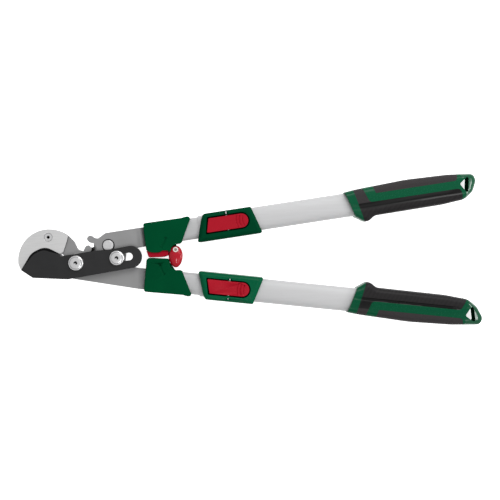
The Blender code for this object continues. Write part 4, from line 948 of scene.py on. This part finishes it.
def bar(name, section, start, end):
    """A section drawn across a handle and extruded from one place along it to another, its ends filled."""
    bar_piece = plate(name, section, 0, end - start)
    upright = Matrix(((0, 0, 1, start * MM), (1, 0, 0, 0), (0, 1, 0, AXIS_Z * MM), (0, 0, 0, 1)))
    place(bar_piece, upright)
    return bar_piece


# Satin anodised aluminium: pale, even metal with the long fine lines of drawing and brushing.
satin = {side: finish("satin_anodised_aluminium_" + side, "#b5b5b6", 0.6, metallic=0.2, specular=0.2,
                      grain=(450.0, 3.0), turn=turn, stretch=(0.04, 1.0, 1.0), tones=("#b0b0b1", "#bbbbbc"),
                      sheen=(0.55, 0.66), relief=(0.15, 0.00008))
         for side, turn in (("upper", -HANDLE_ANGLE), ("lower", HANDLE_ANGLE))}


def drawn_tube(size, wall, span):
    """An oval tube with open ends, lying in its place in the handle frame."""
    tube = bar("tube", oval(*size), *span)
    bore = bar("tube_bore", oval(size[0] - 2 * wall, size[1] - 2 * wall), span[0] - PAST, span[1] + PAST)
    combine(tube, bore)
    return tube


for side in HANDLES:
    inner_tube = drawn_tube(INNER_SIZE, INNER_WALL, INNER_SPAN)
    for u in DETENTS:
        drill(inner_tube, u, 0, DETENT_RADIUS, AXIS_Z, AXIS_Z + 12, 32)
    outer_tube = drawn_tube(OUTER_SIZE, OUTER_WALL, OUTER_SPAN)
    for tube, name, body in ((inner_tube, "_inner_tube", "_handle"), (outer_tube, "_outer_tube", "_grip")):
        shade(tube)
        place(tube, HANDLES[side])
        stands_for(tube, side + name, side + body, "aluminium", satin[side])

# Black acetal, used for the glide in the inner tube's end: smooth, with the faint flow lines of a moulding.
black_acetal = finish("black_acetal", "#262627", 0.35, specular=0.4, grain=(120.0, 3.0), sheen=(0.3, 0.42))
for side in HANDLES:
    refinish(side + "_tube_glide", black_acetal)
    refinish(side + "_tang_pin_front", zinc_plate)
    refinish(side + "_tang_pin_rear", zinc_plate)


# Length lock
# A green housing clamped round the outer tube's front end, and in it a red rocker. Pressing the rocker's
# ribbed round end lifts a steel pin out of the inner tube's holes. Pin and spring stay hidden below it, and
# the ends of its axle show through small windows.

HOUSING_TOP = 5.5
HOUSING_SHOULDER = 2.4
WINDOW_FLOOR = 2.6
WINDOWS = {"upper": (15.4,), "lower": (15.4, -12.8)}
BUTTON_BACK, BUTTON_TOP = 0.8, 6.0
BUTTON_END = (387.0, 1.4)
WELL_FLOOR = -2.0


def button_outline(grow):
    """The rocker seen from the front: slanted at one end, round at the other."""
    return rounded([(341.0 - grow, 11.4 + grow, 1.2), (336.0 - grow, -8.6 - grow, 1.2),
                    *arc(*BUTTON_END, 10.0 + grow, -90, 90)])


# Moulded red ABS with a fine satin texture: the same red as the latch, duller.
satin_red = finish("satin_red_abs", "#98081c", 0.42, specular=0.12, grain=(650.0, 3.0),
                   tones=("#92071a", "#a00c21"), relief=(0.3, 0.00015))

# The same green on the housings, in a lighter copy on the lower handle and a darker one on the upper, as
# painted light. The lower one is also glossier and shines a little.
housing_green = {}
for side, dark, light, rough, gloss in (("upper", "#00321c", "#003d24", 0.46, 0.012),
                                        ("lower", "#00492d", "#005536", 0.28, 0.06)):
    housing_green[side] = finish("lit_and_shaded_housing_green_" + side, dark, rough, specular=gloss,
                                 grain=(700.0, 3.0), tones=(dark, light), relief=(0.2, 0.00012))

# The inside of a moulding, where hardly any light reaches: unpolished, nearly black green.
shaded_green = finish("shaded_green_inside", "#00180d", 0.8, specular=0.0, grain=(400.0, 3.0),
                      tones=("#00140a", "#001e11"))

HOUSING_SHIFT = {"upper": (0.0, -1.2), "lower": (0.0, 0.6)}
BUTTON_SHIFT = {"upper": (0.8, -1.1), "lower": (-0.4, -0.9)}
HOUSING_CORNERS = [(321.3, -20.0, 2.0), (415.4, -20.0, 2.0), (403.8, 19.4, 2.0), (335.0, 19.4, 5.0),
                   (331.2, 12.0, 6.0)]


def moved_in(corners, distance):
    """Corners of an outline drawn a distance inside another one, corner for corner."""
    inner = []
    for i, (x, y, radius) in enumerate(corners):
        here = Vector((x, y))
        before = (Vector(corners[i - 1][:2]) - here).normalized()
        after = (Vector(corners[(i + 1) % len(corners)][:2]) - here).normalized()
        middle = (before + after).normalized()
        here += middle * distance / math.sin(before.angle(after) / 2)
        inner.append((here.x, here.y, radius))
    return inner


for side in HANDLES:
    housing_u, housing_v = HOUSING_SHIFT[side]
    button_u, button_v = BUTTON_SHIFT[side]
    foot, crown = rounded(HOUSING_CORNERS), rounded(moved_in(HOUSING_CORNERS, 4.4))
    housing = plate("lock_housing", foot, REST_Z, HOUSING_SHOULDER, HOUSING_TOP)
    move_ring(housing, HOUSING_TOP, foot, crown)
    even_normals(housing)
    soften(housing, 0.9, 3, 28.0)
    for v in WINDOWS[side]:
        window = [(364.6, v - 0.9), (370.6, v - 1.2), (370.6, v + 0.9), (364.6, v + 1.2)]
        combine(housing, plate("axle_window", window, WINDOW_FLOOR, HOUSING_TOP + 2 * PAST))
    well = plate("button_well", button_outline(2.0), WELL_FLOOR, HOUSING_TOP + 2 * PAST)
    for v in (13.9, -11.1):
        ear = [(365.6, v - 2.0), (369.6, v - 2.0), (369.6, v + 2.0), (365.6, v + 2.0)]
        combine(well, plate("axle_ear", ear, WELL_FLOOR - PAST, HOUSING_TOP - 0.7))
    place(well, Matrix.Translation(Vector((button_u - housing_u, button_v - housing_v, 0)) * MM))
    combine(housing, well)
    shade(housing)
    stands_for(housing, side + "_lock_housing", side + "_grip", "green_plastic",
               housing_green[side], shaded_green)
    for face in housing.data.polygons:
        u, v, z = face.center / MM
        in_well = 332.5 < u < 400.5 and -14.0 < v < 14.5 and z < HOUSING_TOP - 0.4
        face.material_index = int(in_well and (abs(face.normal.z) < 0.3 or abs(z - WELL_FLOOR) < 0.5))
    place(housing, HANDLES[side] @ Matrix.Translation(Vector((housing_u, housing_v, 0)) * MM))

    button = plate("lock_button", button_outline(0.0), BUTTON_BACK, BUTTON_TOP)
    soften(button, 0.5, 3, 60.0)
    for number in range(3):
        rib = arc(397.5 + 4.6 * number, 1.4, 18.0, 180 - 29 + 3 * number, 180 + 29 - 3 * number, 8)
        combine(button, groove("rib", rib, 2.8, BUTTON_TOP - 1.3, BUTTON_TOP + 0.4))
    shade(button)
    place(button, HANDLES[side] @ Matrix.Translation(Vector((button_u, button_v, 0)) * MM))
    stands_for(button, side + "_lock_button", side + "_button", "red_plastic", satin_red)
    for name in ("_button_pin", "_button_spring", "_lock_pin"):
        refinish(side + name, zinc_plate)


# Grips
# A hard green core pushed over the outer tube, with two soft mouldings let into it: a black and charcoal
# pad on the finger side with a band round the front, and a charcoal panel outside. A hole hangs it up.

TUBE_END = OUTER_SPAN[1]
GRIP_BORE = oval(OUTER_SIZE[0] + 0.6, OUTER_SIZE[1] + 0.6)
RIM = 8.0
GRIP_SEAM = 0.18
STRIPE = (-1.8, 9.8)

# Hard moulded green with a satin gloss, lighter than the knuckles. Each handle has its own copy, the upper
# one a little lighter, as painted light.
GRIP_TONES = {"upper": ("#034329", "#0a4e34"), "lower": ("#003e26", "#00482e")}
grip_green = {side: finish("moulded_grip_green_" + side, tones[0], 0.26, specular=0.1, grain=(600.0, 3.0),
                           tones=tones, sheen=(0.2, 0.32), relief=(0.2, 0.00012))
              for side, tones in GRIP_TONES.items()}

# The grips' sloping ends: the same green where the mould was polished, which gives a clear highlight.
polished_green = {side: finish("polished_grip_green_" + side, tones[0], 0.13, specular=0.5,
                               grain=(200.0, 2.0), tones=tones, sheen=(0.1, 0.16))
                  for side, tones in GRIP_TONES.items()}

# The inside of the hanging hole: the same plastic left dull by the mould's core.
dull_green = finish("dull_green_in_hole", "#00371f", 0.8, specular=0.0, grain=(400.0, 3.0),
                    tones=("#00301b", "#003e24"))

# Soft charcoal moulding: matt, with the fine leathery grain that keeps a grip dry.
charcoal_soft = surface("charcoal_soft_grip", "#2a2728", 0.62, specular=0.15)
tree = charcoal_soft.node_tree
spot = node(tree, "TexCoord")
leather = node(tree, "TexVoronoi", {"Scale": 700.0}, {"Vector": spot.outputs["Object"]})
vary(charcoal_soft, leather.outputs["Distance"], ("#272425", "#2f2c2d"), relief=(0.4, 0.0002))

# The same moulding where the fingers close on it: cast with shallow slanted ribs.
ribbed_soft = surface("ribbed_soft_grip", "#171516", 0.5, specular=0.16)
tree = ribbed_soft.node_tree
spot = node(tree, "TexCoord")
slant = node(tree, "Mapping", {"Rotation": (0, 0, math.radians(35))}, {"Vector": spot.outputs["Object"]})
ribs = node(tree, "TexWave", {"Scale": 60.0, "Distortion": 4.0, "Detail": 1.0, "Detail Scale": 0.8},
            {"Vector": slant.outputs["Vector"]})
leather = node(tree, "TexVoronoi", {"Scale": 700.0}, {"Vector": spot.outputs["Object"]})
both = node(tree, "Math", {"operation": "MULTIPLY_ADD", 1: 0.2},
            {0: leather.outputs["Distance"], 2: ribs.outputs["Fac"]})
vary(ribbed_soft, ribs.outputs["Fac"], ("#151314", "#1a1819"))
vary(ribbed_soft, both.outputs["Value"], relief=(0.12, 0.0003))

# Glossy black moulding on the hollow along the stripe: deep black with a soft bright highlight.
glossy_black = finish("glossy_black_moulding", "#060606", 0.28, specular=0.2, grain=(90.0, 2.0),
                      sheen=(0.24, 0.36), relief=(0.15, 0.0002))


def from_end(corners):
    """Corners given from the tube's end, in the handle frame."""
    return rounded(at(TUBE_END, 0, corners))


def between(value, rows):
    """A value read off a table of (place, value) rows, straight from row to row."""
    for (x0, y0), (x1, y1) in zip(rows, rows[1:]):
        if value <= x1:
            return y0 + (y1 - y0) * max(value - x0, 0.0) / (x1 - x0)
    return rows[-1][1]


RIDGE = {"upper": -10.5, "lower": -6.0}
HOLLOW = {
    "upper": [(-26.0, 2.7), (-14.5, 1.9), (-13.0, 1.9), (-10.6, 2.2), (-8.9, 2.5), (-7.4, 2.6), (-4.8, 2.2),
              (-1.8, 0.2), (-1.2, 0.0), (10.0, 0.0), (24.0, 1.0)],
    "lower": [(-26.0, 1.4), (-14.5, 0.7), (-7.2, 0.5), (-6.0, 0.6), (-5.2, 1.5), (-2.8, 1.3), (-1.8, 0.2),
              (-1.2, 0.0), (10.0, 0.0), (24.0, 1.0)],
}
LIP = [(-13.0, 0.0), (-10.6, 0.75), (-8.9, 0.0)]
LIP_GROWS = [(-110.0, 0.0), (-70.0, 0.5), (-20.0, 1.0), (0.0, 1.0)]
FADE = {
    "upper": [(-190.0, 0.25), (-150.0, 0.25), (-136.0, 1.0), (-95.0, 1.0), (-55.0, 0.55), (-6.0, 0.45),
              (11.0, 0.0)],
    "lower": [(-190.0, 0.25), (-150.0, 0.25), (-136.0, 1.0), (-6.0, 1.0), (10.0, 0.0)],
}
END_SLOPE = [(10.0, 0.0), (18.0, 0.8), (26.0, 2.8), (34.0, 5.6), (42.0, 9.0)]
GRIP_ENDS = {"upper": (33.8, 36.4, 29.4, 15.4), "lower": (38.6, 41.4, 31.0, 17.0)}


def grip_blank(name, side, inset):
    """The whole grip's shape: a rounded plate with its top pressed down into facets."""
    end = GRIP_ENDS[side]
    outline = from_end([
        (-176.0, 16.6 - inset), (-158.5, 17.8 - inset, 8.0), (-138.0, 20.0 - inset, 60.0),
        (-65.0, 23.2 - inset, 120.0), (-4.0, 21.2 - inset, 80.0), (end[0] - inset, 16.8 - inset, 8.2),
        (end[1] - inset, 6.6, 9.0), (end[2] - inset, inset - 8.4, 14.0), (end[3], inset - 18.0, 20.0),
        (-14.0, inset - 20.6, 80.0),
        (-68.0, inset - 21.0, 80.0), (-115.0, inset - 21.4, 14.0), (-128.0, inset - 30.0, 9.0),
        (-141.6, inset - 20.2, 6.0), (-147.0, inset - 17.6, 6.0), (-176.0, inset - 17.2)])
    blank = plate(name, outline, REST_Z + inset, BOSS_TOP - inset)
    round_edges(blank, RIM - inset, 7, 60.0)
    slice_at(blank, [((TUBE_END - 168.0 + 7.0 * i) * MM, 0, 0) for i in range(30)], (1, 0, 0))
    facets = [v for v, drop in HOLLOW[side]] + [-22.0, -18.5, 4.0, 14.0, 18.0]
    slice_at(blank, [(0, v * MM, 0) for v in facets], (0, 1, 0))
    for vert in blank.data.vertices:
        u, v, z = vert.co / MM
        if z > AXIS_Z:
            high = (z - AXIS_Z) / (BOSS_TOP - AXIS_Z)
            drop = between(v, HOLLOW[side]) * between(u - TUBE_END, FADE[side])
            if side == "upper" and -13.0 < v < -8.9:
                drop -= between(v, LIP) * between(u - TUBE_END, LIP_GROWS)
            drop += between(u - TUBE_END, END_SLOPE)
            vert.co.z -= drop * high ** 2 * MM
    even_normals(blank)
    return blank


def region(name, corners):
    """A cutter right through the grip, its outline given from the tube's end."""
    return plate(name, from_end(corners), REST_Z - 5, BOSS_TOP + 5)


PAD_FRONT = [(-128.6, -40.0), (-145.3, 34.0), (-132.0, 30.0), (-120.6, -1.8, 6.0)]
PAD_REGION = {"upper": PAD_FRONT + [(11.0, -1.8, 6.0), (12.2, -34.0)],
              "lower": PAD_FRONT + [(6.0, -1.8, 6.0), (22.0, -34.0)]}
PANEL_FRONT = [(-117.0, 34.0), (-110.4, 9.8, 1.5)]
PANEL_REGION = {"upper": PANEL_FRONT + [(6.0, 9.8, 4.0), (13.6, 34.0)],
                "lower": PANEL_FRONT + [(9.0, 9.8, 4.0), (17.5, 34.0)]}
FRONT_CUT = [(-194.0, 40.0), (-160.5, 40.0), (-142.2, -23.4), (-137.0, -40.0), (-194.0, -40.0)]
HOLE_FLARE = 5.0
HANGING_HOLE = {
    "upper": [(9.4, 4.6, 2.2), (24.4, 15.8, 2.2), (19.2, -11.8, 2.2)],
    "lower": [(12.8, 5.6, 2.2), (29.6, 15.4, 2.5), (22.8, -12.0, 2.5)],
}

for side in HANDLES:
    core = grip_blank("grip_core", side, 0.0)
    for name, corners in (("pad_recess", PAD_REGION[side]), ("panel_recess", PANEL_REGION[side]),
                          ("front_cut", FRONT_CUT)):
        combine(core, region(name, corners))
    hole = region("hanging_hole", HANGING_HOLE[side])
    hole_outline = from_end(HANGING_HOLE[side])
    move_ring(hole, REST_Z - 5, hole_outline, [(u + HOLE_FLARE, v) for u, v in hole_outline])
    combine(core, hole)
    pad = grip_blank("grip_pad", side, GRIP_SEAM)
    combine(pad, region("pad_area", PAD_REGION[side]), "INTERSECT")
    panel = grip_blank("grip_panel", side, GRIP_SEAM)
    combine(panel, region("panel_area", PANEL_REGION[side]), "INTERSECT")
    for piece in (core, pad, panel):
        combine(piece, bar("grip_bore", GRIP_BORE, TUBE_END - 200.0, TUBE_END + 0.5))
        shade(piece)
    stands_for(core, side + "_grip_core", side + "_grip", "grip_green", grip_green[side], dull_green,
               polished_green[side])
    for face in core.data.polygons:
        u, v, z = face.center / MM
        in_hole = 8.5 < u - TUBE_END < 34.5 and -13.5 < v < 17.0 and abs(face.normal.z) < 0.3
        face.material_index = 1 if in_hole else 2 if u - TUBE_END > 17.0 else 0
    stands_for(pad, side + "_grip_pad", side + "_grip", "black_grip",
               charcoal_soft, glossy_black, ribbed_soft)
    stands_for(panel, side + "_grip_panel", side + "_grip", "charcoal_grip", charcoal_soft)
    band_side = STRIPE[0] if side == "upper" else STRIPE[1]
    for face in pad.data.polygons:
        v = face.center.y / MM
        face.material_index = 0 if v > band_side else 1 if v > RIDGE[side] else 2
    for piece in (core, pad, panel):
        place(piece, HANDLES[side])
